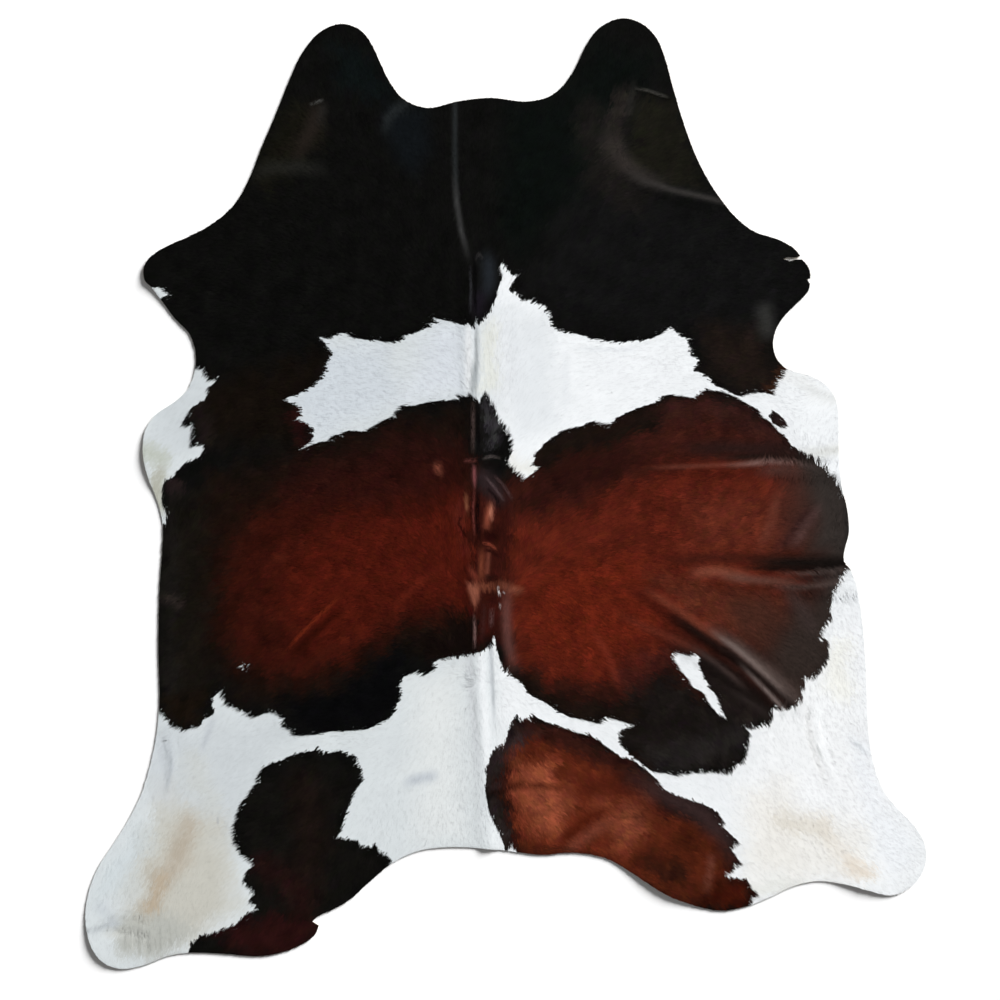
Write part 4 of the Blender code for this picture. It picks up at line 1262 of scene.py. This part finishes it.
@dataclass(frozen=True)
class HairFinish:
    """Short glossy hair that takes its tone from the pigment attribute."""

    name: str
    roughness: float
    gloss: float
    mottle: float
    bump: float
    rough_either_way: float = 0.08
    blotches: Noise = Noise(34.0, 5.0, 0.62)
    hairs: Noise = Noise(520.0, 3.0, 0.6)
    hairs_height: float = 0.0006

    def make(self) -> bpy.types.Material:
        """Build and return the material."""
        nodes = Nodes(self.name)
        tone = nodes.add("ShaderNodeAttribute", attribute_name=PIGMENT)
        blotches = nodes.noise(self.blotches)
        toned = nodes.add("ShaderNodeVectorMath", operation="SCALE")
        nodes.link(tone.outputs["Color"], toned.inputs[0])
        nodes.link(nodes.around(blotches, 1.0, self.mottle), toned.inputs["Scale"])
        nodes.link(toned.outputs["Vector"], nodes.shader.inputs["Base Color"])
        nodes.link(nodes.around(blotches, self.roughness, self.rough_either_way),
                   nodes.shader.inputs["Roughness"])
        nodes.bump(nodes.noise(self.hairs), self.bump, self.hairs_height)
        nodes.set(Specular_IOR_Level=self.gloss)
        return nodes.material


@dataclass(frozen=True)
class LeatherFinish:
    """Bare tanned leather: the suede underside and the cut edge."""

    name: str
    colour: Colour
    deeper: Colour
    roughness: float
    blotches: Noise
    turn: Range = (0.32, 0.70)
    nap: Noise = Noise(900.0, 4.0, 0.7)
    nap_bump: float = 0.35
    nap_height: float = 0.0004
    gloss: float = 0.2
    sheen: float = 0.25

    def make(self) -> bpy.types.Material:
        """Build and return the material."""
        nodes = Nodes(self.name)
        tone = ramp(nodes.tree, nodes.noise(self.blotches), (self.turn[0], linear(self.deeper)),
                    (self.turn[1], linear(self.colour)))
        nodes.link(tone, nodes.shader.inputs["Base Color"])
        nodes.bump(nodes.noise(self.nap), self.nap_bump, self.nap_height)
        nodes.set(Roughness=self.roughness, Specular_IOR_Level=self.gloss, Sheen_Weight=self.sheen)
        return nodes.material


SKIN = HairFinish("hair at the skin", roughness=0.70, gloss=0.04, mottle=0.04, bump=0.06)
DARK_HAIR = HairFinish("dark hair", roughness=0.50, gloss=0.06, mottle=0.10, bump=0.08)
WHITE_HAIR = HairFinish("white hair", roughness=0.60, gloss=0.06, mottle=0.01, bump=0.03)
SUEDE = LeatherFinish("suede underside", (176, 160, 138), (150, 133, 112), 0.92, Noise(7.0, 8.0, 0.6))
CUT_EDGE = LeatherFinish("cut edge", (186, 176, 160), (150, 138, 122), 0.85, Noise(60.0, 8.0, 0.6))


# ------------------------------ the rim
class Rim:
    """The hide's outline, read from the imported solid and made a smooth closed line."""

    spacing: float = 0.005
    sharp: float = math.radians(40.0)
    reach: float = 0.08
    upright: float = 0.6
    micrometres: float = 1e6

    def __init__(self, node: bpy.types.Object, field: Field) -> None:
        """Read the outline and work out how far each point of the net lies inside it."""
        self.field = field
        self.corners = self.finer(self.outline(node))
        closed = np.vstack((self.corners, self.corners[:1]))
        gap = field.gap_to([closed], self.reach)
        self.depth = np.where(field.inside([self.corners]), gap, -gap)

    def outline(self, node: bpy.types.Object) -> Array:
        """Walk round the solid's lower rim.

        Args:
            node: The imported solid's object.

        Returns:
            The rim's corners in order, rows (x, y).
        """
        copy = node.data.copy()
        places = np.array([vertex.co for vertex in copy.vertices])
        rounded = np.round(places * self.micrometres).astype(np.int64)
        _, same = np.unique(rounded, axis=0, return_inverse=True)
        same = same.reshape(-1)
        spots = np.zeros((same.max() + 1, 3))
        spots[same] = places
        faces = {"under": set(), "side": set()}
        for polygon in copy.polygons:
            up = polygon.normal.z
            kind = "under" if up < -self.upright else "side" if abs(up) < self.upright else None
            if kind:
                run = [int(same[v]) for v in polygon.vertices]
                for a, b in zip(run, run[1:] + run[:1]):
                    faces[kind].add((a, b))
        bpy.data.meshes.remove(copy)
        follow = {a: b for a, b in faces["under"] if (b, a) in faces["side"]}
        start = min(follow)
        walk, at = [start], follow[start]
        while at != start:
            walk.append(at)
            at = follow[at]
        if len(walk) != len(follow):
            raise ValueError(f"the rim has {len(follow)} edges and the walk round it {len(walk)}")
        return spots[walk, :2]

    def finer(self, corners: Array) -> Array:
        """Put more corners on a smooth line through the rim's own, and keep its sharp turns.

        Args:
            corners: The rim's corners in order.

        Returns:
            Corners about 5 mm apart.
        """
        before, after = np.roll(corners, 1, axis=0), np.roll(corners, -1, axis=0)
        inward, outward = corners - before, after - corners
        turn = np.abs(np.arctan2(inward[:, 0] * outward[:, 1] - inward[:, 1] * outward[:, 0],
                                 (inward * outward).sum(1)))
        slope = np.where((turn > self.sharp)[:, None], 0.0, (after - before) / 2)
        fine = []
        for k, a in enumerate(corners):
            n = (k + 1) % len(corners)
            b, length = corners[n], float(np.linalg.norm(corners[n] - a))
            steep = [float(np.linalg.norm(slope[i])) for i in (k, n)]
            reach = [slope[i] * (length / slant) if slant > TINY else b - a
                     for i, slant in zip((k, n), steep)]
            pieces = max(1, round(length / self.spacing))
            for t in np.arange(pieces) / pieces:
                fine.append((2 * t**3 - 3 * t**2 + 1) * a + (t**3 - 2 * t**2 + t) * reach[0]
                            + (3 * t**2 - 2 * t**3) * b + (t**3 - t**2) * reach[1])
        return np.array(fine)

    def depth_at(self, places: Array) -> Array:
        """How far inside the rim some places lie, in metres, below 0 outside."""
        return self.field.sample(self.depth, places)

    def signed_area(self) -> float:
        """The flat area inside, in square metres, below 0 if the corners run clockwise."""
        a, b = self.corners, np.roll(self.corners, -1, axis=0)
        return float((a[:, 0] * b[:, 1] - a[:, 1] * b[:, 0]).sum()) / 2


# ------------------------------ the sheet
def hex_lattice(field: Field, step: float) -> Array:
    """Places on rows that are offset by half a step, over the whole net."""
    row_step = step * math.sqrt(3) / 2
    rows = np.arange(field.y[0], field.y[-1], row_step)
    columns = np.arange(field.x[0], field.x[-1], step)
    x, y = np.meshgrid(columns, rows)
    x[1::2] += step / 2
    return np.column_stack((x.ravel(), y.ravel()))


@dataclass
class HideSheet:
    """The tanned skin: a closed sheet with a fine hair side and a plain suede side."""

    field: Field
    rim: Rim
    relief: Relief
    pattern: Pattern
    thickness: float = 0.0030
    hair_side_step: float = 0.0128
    underside_step: float = 0.024
    bent: float = 2.0
    # The skin under white hair is painted a little darker: painted shade under the coat.
    white_skin_shade: float = 0.97
    inside_edges: int = 1
    merge: float = 1e-7

    def net(self, step: float) -> tuple[Array, list[list[int]]]:
        """Lay a net of triangles inside the rim.

        Args:
            step: The spacing of the corners where the hide is flat; half of it where it bends.

        Returns:
            The corners, with the rim's first, and the triangles.
        """
        wide, narrow = hex_lattice(self.field, step), hex_lattice(self.field, step / 2)
        inner = np.vstack((wide[self.field.sample(self.relief.bend, wide) < self.bent],
                           narrow[self.field.sample(self.relief.bend, narrow) >= self.bent]))
        inner = inner[self.rim.depth_at(inner) > self.rim.spacing]
        places = [Vector(place) for place in np.vstack((self.rim.corners, inner)).tolist()]
        count = len(self.rim.corners)
        edges = [(k, (k + 1) % count) for k in range(count)]
        flat, _, faces, origin, _, _ = delaunay_2d_cdt(places, edges, [], self.inside_edges, self.merge)
        if len(flat) != len(places):
            raise ValueError("the net lost or gained corners")
        order = [source[0] for source in origin]
        corners = np.array([tuple(place) for place in places])
        return corners, [[order[v] for v in face] for face in faces]

    def build(self) -> bpy.types.Object:
        """Build the sheet and dress it.

        Returns:
            The sheet's object.
        """
        upper, upper_faces = self.net(self.hair_side_step)
        lower, lower_faces = self.net(self.underside_step)
        top = self.relief.height_at(upper) + self.thickness
        under = self.relief.height_at(lower)
        count, shift = len(self.rim.corners), len(upper)
        top[:count] = under[:count] + self.thickness
        spots = np.vstack((np.column_stack((upper, top)), np.column_stack((lower, under))))
        walls = [[shift + k, shift + (k + 1) % count, (k + 1) % count, k] for k in range(count)]
        if self.rim.signed_area() < 0:
            walls = [wall[::-1] for wall in walls]
        faces = upper_faces + [[shift + v for v in face[::-1]] for face in lower_faces] + walls
        mesh = bpy.data.meshes.new("hide_sheet")
        mesh.from_pydata(spots.tolist(), [], faces)
        mesh.shade_smooth()
        for finish in (SKIN, SUEDE, CUT_EDGE):
            mesh.materials.append(finish.make())
        finishes = [0] * len(upper_faces) + [1] * len(lower_faces) + [2] * len(walls)
        mesh.polygons.foreach_set("material_index", finishes)
        dark = self.pattern.depth_at(spots) > 0
        # The skin under white hair is painted a little darker: painted shade under the coat.
        tone = np.where(dark[:, None], self.pattern.dark.read(spots, spots),
                        self.pattern.white.read(spots, spots) * self.white_skin_shade)
        paint(mesh, pigment(tone))
        ends = np.empty(len(mesh.loops), np.int32)
        mesh.loops.foreach_get("vertex_index", ends)
        normals = np.zeros((len(ends), 3))
        on_top = 3 * len(upper_faces)
        normals[:on_top] = self.relief.normals(spots[ends[:on_top]])
        mesh.normals_split_custom_set(normals.tolist())
        sheet = bpy.data.objects.new("hide_sheet", mesh)
        bpy.context.scene.collection.objects.link(sheet)
        LOG.info("hide_sheet: %d faces", len(faces))
        return sheet

    def area(self) -> float:
        """The hide's flat area in square metres."""
        return abs(self.rim.signed_area())


def paint(mesh: bpy.types.Mesh, colours: Array) -> None:
    """Store a colour for each corner of a mesh as its pigment."""
    layer = mesh.color_attributes.new(PIGMENT, "FLOAT_COLOR", "POINT")
    values = np.column_stack((np.clip(colours, 0.0, 1.0), np.ones(len(colours))))
    layer.data.foreach_set("color", values.astype(np.float32).ravel())


# ------------------------------ the coat
@dataclass(frozen=True)
class Panel:
    """A part of the coat that is one piece: hair of one kind, between two lines across and along."""

    name: str
    kind: CoatKind
    low: Place
    high: Place


PANELS = (
    Panel("coat_dark_front_left", CoatKind.DARK, (-2.0, 0.20), (-0.075, 2.0)),
    Panel("coat_dark_front_right", CoatKind.DARK, (-0.075, 0.20), (2.0, 2.0)),
    Panel("coat_dark_flank_left", CoatKind.DARK, (-2.0, -0.62), (-0.045, 0.20)),
    Panel("coat_dark_flank_right", CoatKind.DARK, (-0.045, -0.53), (2.0, 0.20)),
    Panel("coat_dark_rump", CoatKind.DARK, (-2.0, -2.0), (2.0, 0.20)),
    Panel("coat_white_band", CoatKind.WHITE, (-2.0, -0.10), (2.0, 2.0)),
    Panel("coat_white_rump_left", CoatKind.WHITE, (-2.0, -2.0), (-0.06, 2.0)),
    Panel("coat_white_rump_right", CoatKind.WHITE, (-0.06, -2.0), (2.0, 2.0)),
)


@dataclass(frozen=True)
class Habit:
    """What sets one kind of hair apart: how high it stands, its variety of tone, and how much
    darker its root is painted, a painted shade under the coat.
    """

    rise: float
    ridge: float
    variety: float
    root: float


# root paints the lower end of each strand darker: painted shade under the coat, strong on the dark hair
# and slight on the white.
HABITS = {
    CoatKind.DARK: Habit(rise=0.00042, ridge=0.00008, variety=0.09, root=0.84),
    CoatKind.WHITE: Habit(rise=0.00005, ridge=0.0, variety=0.008, root=0.985),
}


@dataclass(frozen=True)
class Growth:
    """How hairs grow in one sort of place.

    Lengths and widths are in metres, and the range after each is by how much it varies. Hairs go
    astray by an angle in radians. A hair shows its tone at a share of its length.
    """

    length: float
    lengths: Range
    width: float
    rise: float
    rises: Range
    astray: float
    tone: float
    shows_at: float
    widths: Range = (0.7, 1.2)


IN_LOCKS = Growth(length=0.016, lengths=(0.75, 1.25), width=0.0023, rise=1.0, rises=(0.6, 1.25),
                  astray=0.13, tone=0.5, shows_at=0.65)
IN_FRINGE = Growth(length=0.016, lengths=(0.7, 1.45), width=0.0013, rise=1.5, rises=(0.8, 1.2),
                   astray=0.17, tone=0.7, shows_at=0.35)
ALONG_LINES = Growth(length=0.011, lengths=(0.7, 1.2), width=0.0016, rise=1.9, rises=(0.8, 1.2),
                     astray=0.06, tone=0.5, shows_at=0.5)


@dataclass
class Coat:
    """The short hair, as locks that lie along the grain and draw together at their tips.

    Shifts and spreads are shares of a step, angles are in radians and other sizes in metres.
    """

    field: Field
    rim: Rim
    relief: Relief
    pattern: Pattern
    grain: Grain
    skin: float
    seed: int = 20
    stands_off: float = 0.0002
    overhang: float = 0.002
    rim_margin: float = 0.0012
    strand_rim_margin: float = 0.0006
    cuts: int = 4
    cut_to: float = 0.6
    lock_step: float = 0.0076
    lock_shift: float = 0.38
    lock_grain: float = 0.005
    lock_tone: float = 0.6
    strands: int = 6
    strand_spread: float = 0.62
    strand_astray: float = 0.05
    strand_lengths: Range = (0.8, 1.15)
    drawn_in: Range = (0.5, 0.75)
    tone_grain: float = 0.003
    fringe_step: float = 0.0021
    fringe_shift: float = 0.5
    fringe_reach: float = 0.006
    line_cover: float = 1.5
    line_part: Range = (0.08, 0.92)
    line_share: float = 0.7
    row: float = 0.01
    own_tones: Range = (0.5, 1.5)
    map_inset: Range = (0.12, 0.88)

    def ends(self, roots: Array, ahead: Array, reach: Array, drawn_in: Array) -> tuple[Array, Array]:
        """Where strands end, cut short where they would leave the hide.

        Args:
            roots: Where they start.
            ahead: The way each points.
            reach: How long each is.
            drawn_in: How far each leans to its lock's middle over the usual length.

        Returns:
            The tips, and how long each strand is now.
        """
        for cut in range(self.cuts + 1):
            tips = roots + ahead * reach[:, None] - drawn_in * (reach / IN_LOCKS.length)[:, None]
            if cut < self.cuts:
                out = self.rim.depth_at(tips) < -self.overhang
                reach = np.where(out, reach * self.cut_to, reach)
        return tips, reach

    def angles(self, places: Array, growth: Growth, rng: Chance) -> Array:
        """The angles at which hairs lie at some places: the grain's, each a little astray."""
        way = self.field.sample(self.grain.way, places)
        return np.arctan2(way[:, 1], way[:, 0]) + rng.normal(0.0, growth.astray, len(places))

    def hairs(self, growth: Growth, rng: Chance, shared: Array | float = 0.0, **values: Array) -> Hair:
        """Give hairs their widths, tones and rises.

        Args:
            growth: How they grow.
            rng: The source of chance.
            shared: The tones that they share with their locks.
            **values: Their roots and tips, where each reads its tone (seen), its depth there, and 1
                if the fine lines show on it (fine).

        Returns:
            All these values by name.
        """
        count = len(values["roots"])
        return values | {"width": growth.width * rng.uniform(*growth.widths, count),
                         "tone": shared + rng.normal(0.0, growth.tone, count),
                         "rise": growth.rise * rng.uniform(*growth.rises, count)}

    def locks(self, rng: Chance) -> Hair:
        """Grow the coat's locks.

        Args:
            rng: The source of chance.

        Returns:
            The values of their strands.
        """
        growth = IN_LOCKS
        locks = hex_lattice(self.field, self.lock_step)
        locks = locks + rng.uniform(-self.lock_shift, self.lock_shift, locks.shape) * self.lock_step
        locks = locks[self.rim.depth_at(locks) > self.rim_margin]
        angle = self.angles(locks, growth, rng)
        length = growth.length * rng.uniform(*growth.lengths, len(locks))
        tone = self.lock_tone * rng.normal(0.0, 1.0, len(locks))
        stray = rng.normal(0.0, self.lock_grain, locks.shape)
        lock = np.repeat(np.arange(len(locks)), self.strands)
        middle, count = locks[lock], len(lock)
        spread = rng.uniform(-self.strand_spread, self.strand_spread, (count, 2)) * self.lock_step
        held = self.rim.depth_at(middle + spread) > self.strand_rim_margin
        roots = np.where(held[:, None], middle + spread, middle)
        ahead = pointing(angle[lock] + rng.normal(0.0, self.strand_astray, count))
        reach = length[lock] * rng.uniform(*self.strand_lengths, count)
        tips, reach = self.ends(roots, ahead, reach, spread * rng.uniform(*self.drawn_in, (count, 1)))
        seen = middle + ahead * (growth.shows_at * reach)[:, None]
        depth = self.pattern.depth_at(seen)
        seen = seen + stray[lock] + rng.normal(0.0, self.tone_grain, seen.shape)
        return self.hairs(growth, rng, tone[lock], roots=roots, tips=tips, seen=seen, depth=depth,
                          fine=np.zeros(count))

    def fringe(self, rng: Chance) -> Hair:
        """Grow the thin single hairs that reach over the patches' borders.

        Args:
            rng: The source of chance.

        Returns:
            Their values.
        """
        growth = IN_FRINGE
        roots = hex_lattice(self.field, self.fringe_step)
        roots = roots + rng.uniform(-self.fringe_shift, self.fringe_shift, roots.shape) * self.fringe_step
        near = np.abs(self.pattern.depth_at(roots)) < self.fringe_reach
        roots = roots[near & (self.rim.depth_at(roots) > self.rim_margin)]
        ahead = pointing(self.angles(roots, growth, rng))
        reach = growth.length * rng.uniform(*growth.lengths, len(roots))
        tips, reach = self.ends(roots, ahead, reach, np.zeros_like(roots))
        seen = roots + ahead * (growth.shows_at * reach)[:, None]
        depth = self.pattern.depth_at(seen)
        return self.hairs(growth, rng, roots=roots, tips=tips, seen=seen, depth=depth,
                          fine=np.zeros(len(roots)))

    def along_line(self, tone: Tone, kind: CoatKind, rng: Chance) -> Hair:
        """Grow hairs that lie along a fine line and keep it sharp.

        Args:
            tone: The line.
            kind: The kind of hair it is in.
            rng: The source of chance.

        Returns:
            Their values.
        """
        growth = ALONG_LINES
        places = PAPER.metres(tone.places)
        runs = np.diff(places, axis=0)
        lengths = np.linalg.norm(runs, axis=1)
        reached = np.concatenate(([0.0], np.cumsum(lengths)))
        half = (tone.half + tone.soft / 2) * PAPER.square
        needed = self.line_cover * reached[-1] * 2 * half
        count = math.ceil(needed / (growth.length * growth.width / 2))
        at = reached[-1] * rng.uniform(*self.line_part, count)
        run = np.clip(np.searchsorted(reached, at, side="right") - 1, 0, len(runs) - 1)
        angle = np.arctan2(runs[run, 1], runs[run, 0])
        beside = np.column_stack((-np.sin(angle), np.cos(angle))) * rng.uniform(-half, half, (count, 1))
        middle = places[run] + runs[run] * ((at - reached[run]) / lengths[run])[:, None] + beside
        ahead = pointing(angle + rng.normal(0.0, growth.astray, count))
        length = min(growth.length, self.line_share * reached[-1])
        back = ahead * (length * rng.uniform(*growth.lengths, count) * growth.shows_at)[:, None]
        depth = np.full(count, 1.0 if kind is CoatKind.DARK else -1.0)
        return self.hairs(growth, rng, roots=middle - back, tips=middle + back, seen=middle, depth=depth,
                          fine=np.ones(count))

    def grow(self) -> Hair:
        """Place every strand.

        Returns:
            The values of the locks, of the fringe and of the hairs along fine lines.
        """
        rng = np.random.default_rng(self.seed)
        parts = [self.locks(rng), self.fringe(rng)]
        for kind, tones in ((CoatKind.DARK, DARK_TONES), (CoatKind.WHITE, WHITE_TONES)):
            parts += [self.along_line(tone, kind, rng) for tone in tones if tone.has_hairs()]
        counts = [len(part["depth"]) for part in parts]
        LOG.info("coat: %d strands in locks, %d in the fringe, %d along lines",
                 *counts[:2], sum(counts[2:]))
        grown = {name: np.concatenate([part[name] for part in parts]) for name in parts[0]}
        held = self.rim.depth_at(grown["roots"]) > 0.0
        held &= self.rim.depth_at(grown["tips"]) > -self.overhang
        return {name: values[held] for name, values in grown.items()}

    def build(self) -> list[bpy.types.Object]:
        """Build the coat's pieces.

        Returns:
            The pieces' objects.
        """
        hair = self.grow()
        finishes = {CoatKind.DARK: DARK_HAIR.make(), CoatKind.WHITE: WHITE_HAIR.make()}
        free = np.ones(len(hair["depth"]), bool)
        pieces = []
        for panel in PANELS:
            kind = (hair["depth"] > 0) == (panel.kind is CoatKind.DARK)
            within = (hair["roots"] >= panel.low).all(1) & (hair["roots"] < panel.high).all(1)
            mine = free & kind & within
            free &= ~mine
            pieces.append(self.piece(panel, {name: values[mine] for name, values in hair.items()},
                                     finishes[panel.kind]))
        if free.any():
            raise ValueError(f"{int(free.sum())} strands are on no panel")
        return pieces

    def piece(self, panel: Panel, hair: Hair, finish: bpy.types.Material) -> bpy.types.Object:
        """Build one piece of the coat, each strand a low roof of two triangles.

        Args:
            panel: The part of the coat.
            hair: Its strands.
            finish: Its material.

        Returns:
            The piece's object.
        """
        order = np.lexsort((hair["roots"][:, 0], np.round(hair["roots"][:, 1] / self.row)))
        hair = {name: values[order] for name, values in hair.items()}
        roots, tips, count = hair["roots"], hair["tips"], len(order)
        ahead = tips - roots
        ahead = ahead / np.maximum(np.linalg.norm(ahead, axis=1, keepdims=True), TINY)
        side = np.column_stack((-ahead[:, 1], ahead[:, 0])) * (hair["width"] / 2)[:, None]
        habit = HABITS[panel.kind]
        spots = np.empty((count, 4, 3))
        corners = ((roots + side, 0.0), (roots - side, 0.0), (roots, habit.ridge),
                   (tips, habit.rise * hair["rise"]))
        for k, (place, above) in enumerate(corners):
            ground = self.relief.height_at(place) + self.skin + self.stands_off
            spots[:, k] = np.column_stack((place, ground + above))
        first = np.arange(count) * 4
        faces = np.empty((count, 2, 3), np.int32)
        faces[:, 0] = np.column_stack((first, first + 2, first + 3))
        faces[:, 1] = np.column_stack((first + 1, first + 3, first + 2))
        mesh = bpy.data.meshes.new(panel.name)
        mesh.vertices.add(count * 4)
        mesh.vertices.foreach_set("co", spots.astype(np.float32).ravel())
        mesh.loops.add(count * 6)
        mesh.loops.foreach_set("vertex_index", faces.ravel())
        mesh.polygons.add(count * 2)
        mesh.polygons.foreach_set("loop_start", np.arange(count * 2, dtype=np.int32) * 3)
        mesh.update(calc_edges=True)
        mesh.shade_smooth()
        mesh.materials.append(finish)
        mesh.normals_split_custom_set_from_vertices(self.relief.normals(spots.reshape(-1, 3)).tolist())
        self.colour(mesh, panel, hair)
        self.bake_map(mesh, count)
        piece = bpy.data.objects.new(panel.name, mesh)
        bpy.context.scene.collection.objects.link(piece)
        LOG.info("%s: %d strands", panel.name, count)
        return piece

    def colour(self, mesh: bpy.types.Mesh, panel: Panel, hair: Hair) -> None:
        """Give each strand the ground tone of the place where it shows, and lines where they run."""
        habit = HABITS[panel.kind]
        tones = self.pattern.dark if panel.kind is CoatKind.DARK else self.pattern.white
        at_root = pigment(tones.read(hair["seen"], hair["roots"], hair["fine"]))
        at_tip = pigment(tones.read(hair["seen"], hair["tips"], hair["fine"]))
        own = np.clip(1.0 + hair["tone"] * habit.variety, *self.own_tones)[:, None]
        root, tip = at_root * own, at_tip * own
        # Roots and the strand's middle are painted darker by the habit's root factor: painted shade under
        # the coat.
        paint(mesh, np.stack((root * habit.root, root * habit.root, root * (1 + habit.root) / 2, tip),
                             axis=1).reshape(-1, 3))

    def bake_map(self, mesh: bpy.types.Mesh, count: int) -> None:
        """Give each strand a small square of its own on a map, neighbours side by side."""
        across = math.ceil(math.sqrt(count))
        cell = np.column_stack((np.arange(count) % across, np.arange(count) // across)) / across
        low, high = self.map_inset
        left, right, root, tip = np.array([(low, low), (high, low), (0.5, low), (0.5, high)]) / across
        places = cell[:, None, :] + np.array([left, root, tip, right, tip, root])
        layer = mesh.uv_layers.new(name=BAKE_MAP)
        layer.data.foreach_set("uv", places.astype(np.float32).ravel())


# ------------------------------ the studio
@dataclass(frozen=True)
class Sun:
    """A soft light from far away: where it stands round the hide, and how strong and wide it is."""

    name: str
    azimuth: float
    elevation: float
    strength: float
    width: float


SUNS = (
    Sun("key", 46.0, 20.0, 8.95, 28.0),
    Sun("fill left", 200.0, 55.0, 0.10, 60.0),
    Sun("fill top", 60.0, 60.0, 0.10, 60.0),
)


@dataclass(frozen=True)
class Studio:
    """A pale floor, soft light and a camera straight above."""

    view_width: float = 2.5
    middle: Place = (-0.015, -0.01625)
    lens: float = 85.0
    sensor: float = 36.0
    clip: float = 100.0
    floor_radius: float = 30.0
    floor_corners: int = 96
    floor_tone: float = 0.95
    floor_roughness: float = 0.9
    floor_gloss: float = 0.1
    walls: tuple[float, float] = (0.22, 0.60)
    ceiling: tuple[float, float] = (0.50, 0.05)

    def build(self) -> None:
        """Set up the floor, the lights, the surroundings and the camera."""
        self.floor()
        for sun in SUNS:
            self.light(sun)
        self.surroundings()
        self.camera()
        bpy.context.scene.view_settings.view_transform = "Standard"

    def floor(self) -> None:
        """Lay a wide pale floor."""
        bpy.ops.object.select_all(action="DESELECT")
        bpy.ops.mesh.primitive_circle_add(vertices=self.floor_corners, radius=self.floor_radius,
                                          fill_type="NGON")
        floor = bpy.context.object
        floor.name = "floor"
        nodes = Nodes("pale floor")
        nodes.set(Base_Color=(self.floor_tone,) * 3 + (1.0,), Roughness=self.floor_roughness,
                  Specular_IOR_Level=self.floor_gloss)
        floor.data.materials.append(nodes.material)

    def light(self, sun: Sun) -> None:
        """Add a sun. Azimuth 0 stands to the right and 90 at the narrow end."""
        data = bpy.data.lights.new(sun.name, "SUN")
        data.energy, data.angle = sun.strength, math.radians(sun.width)
        lamp = bpy.data.objects.new(sun.name, data)
        azimuth, elevation = math.radians(sun.azimuth), math.radians(sun.elevation)
        toward = Vector((math.cos(azimuth) * math.cos(elevation),
                         math.sin(azimuth) * math.cos(elevation), math.sin(elevation)))
        lamp.rotation_mode = "QUATERNION"
        lamp.rotation_quaternion = toward.to_track_quat("Z", "Y")
        bpy.context.scene.collection.objects.link(lamp)

    def surroundings(self) -> None:
        """Put pale walls round the floor under a dimmer ceiling."""
        world = bpy.data.worlds.new("studio")
        world.use_nodes = True
        bpy.context.scene.world = world
        tree = world.node_tree
        place = tree.nodes.new("ShaderNodeTexCoord")
        parts = tree.nodes.new("ShaderNodeSeparateXYZ")
        tree.links.new(place.outputs["Generated"], parts.inputs["Vector"])
        stops = [(height, (tone,) * 3) for height, tone in (self.walls, self.ceiling)]
        tone = ramp(tree, parts.outputs["Z"], *stops)
        tree.links.new(tone, tree.nodes["Background"].inputs["Color"])

    def camera(self) -> None:
        """Put a long lens straight above the hide."""
        data = bpy.data.cameras.new("camera")
        data.lens, data.sensor_width = self.lens, self.sensor
        data.clip_end = self.clip
        camera = bpy.data.objects.new("camera", data)
        camera.location = (*self.middle, self.view_width * self.lens / self.sensor)
        bpy.context.scene.collection.objects.link(camera)
        bpy.context.scene.camera = camera


def main() -> None:
    """Build the hide's sheet, its coat and the studio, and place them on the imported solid."""
    logging.basicConfig(level=logging.INFO, format="%(name)s: %(message)s")
    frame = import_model()
    field = Field()
    rim = Rim(frame["nodes"][NODE], field)
    relief = Relief(field)
    pattern = Pattern(field)
    grain = Grain(field)
    hide = HideSheet(field, rim, relief, pattern)
    sheet = hide.build()
    coat = Coat(field, rim, relief, pattern, grain, hide.thickness).build()
    for piece in (sheet, *coat):
        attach(piece, BODY)
    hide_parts(NODE)
    hide.area()
    Studio().build()


if __name__ == "__main__":
    main()
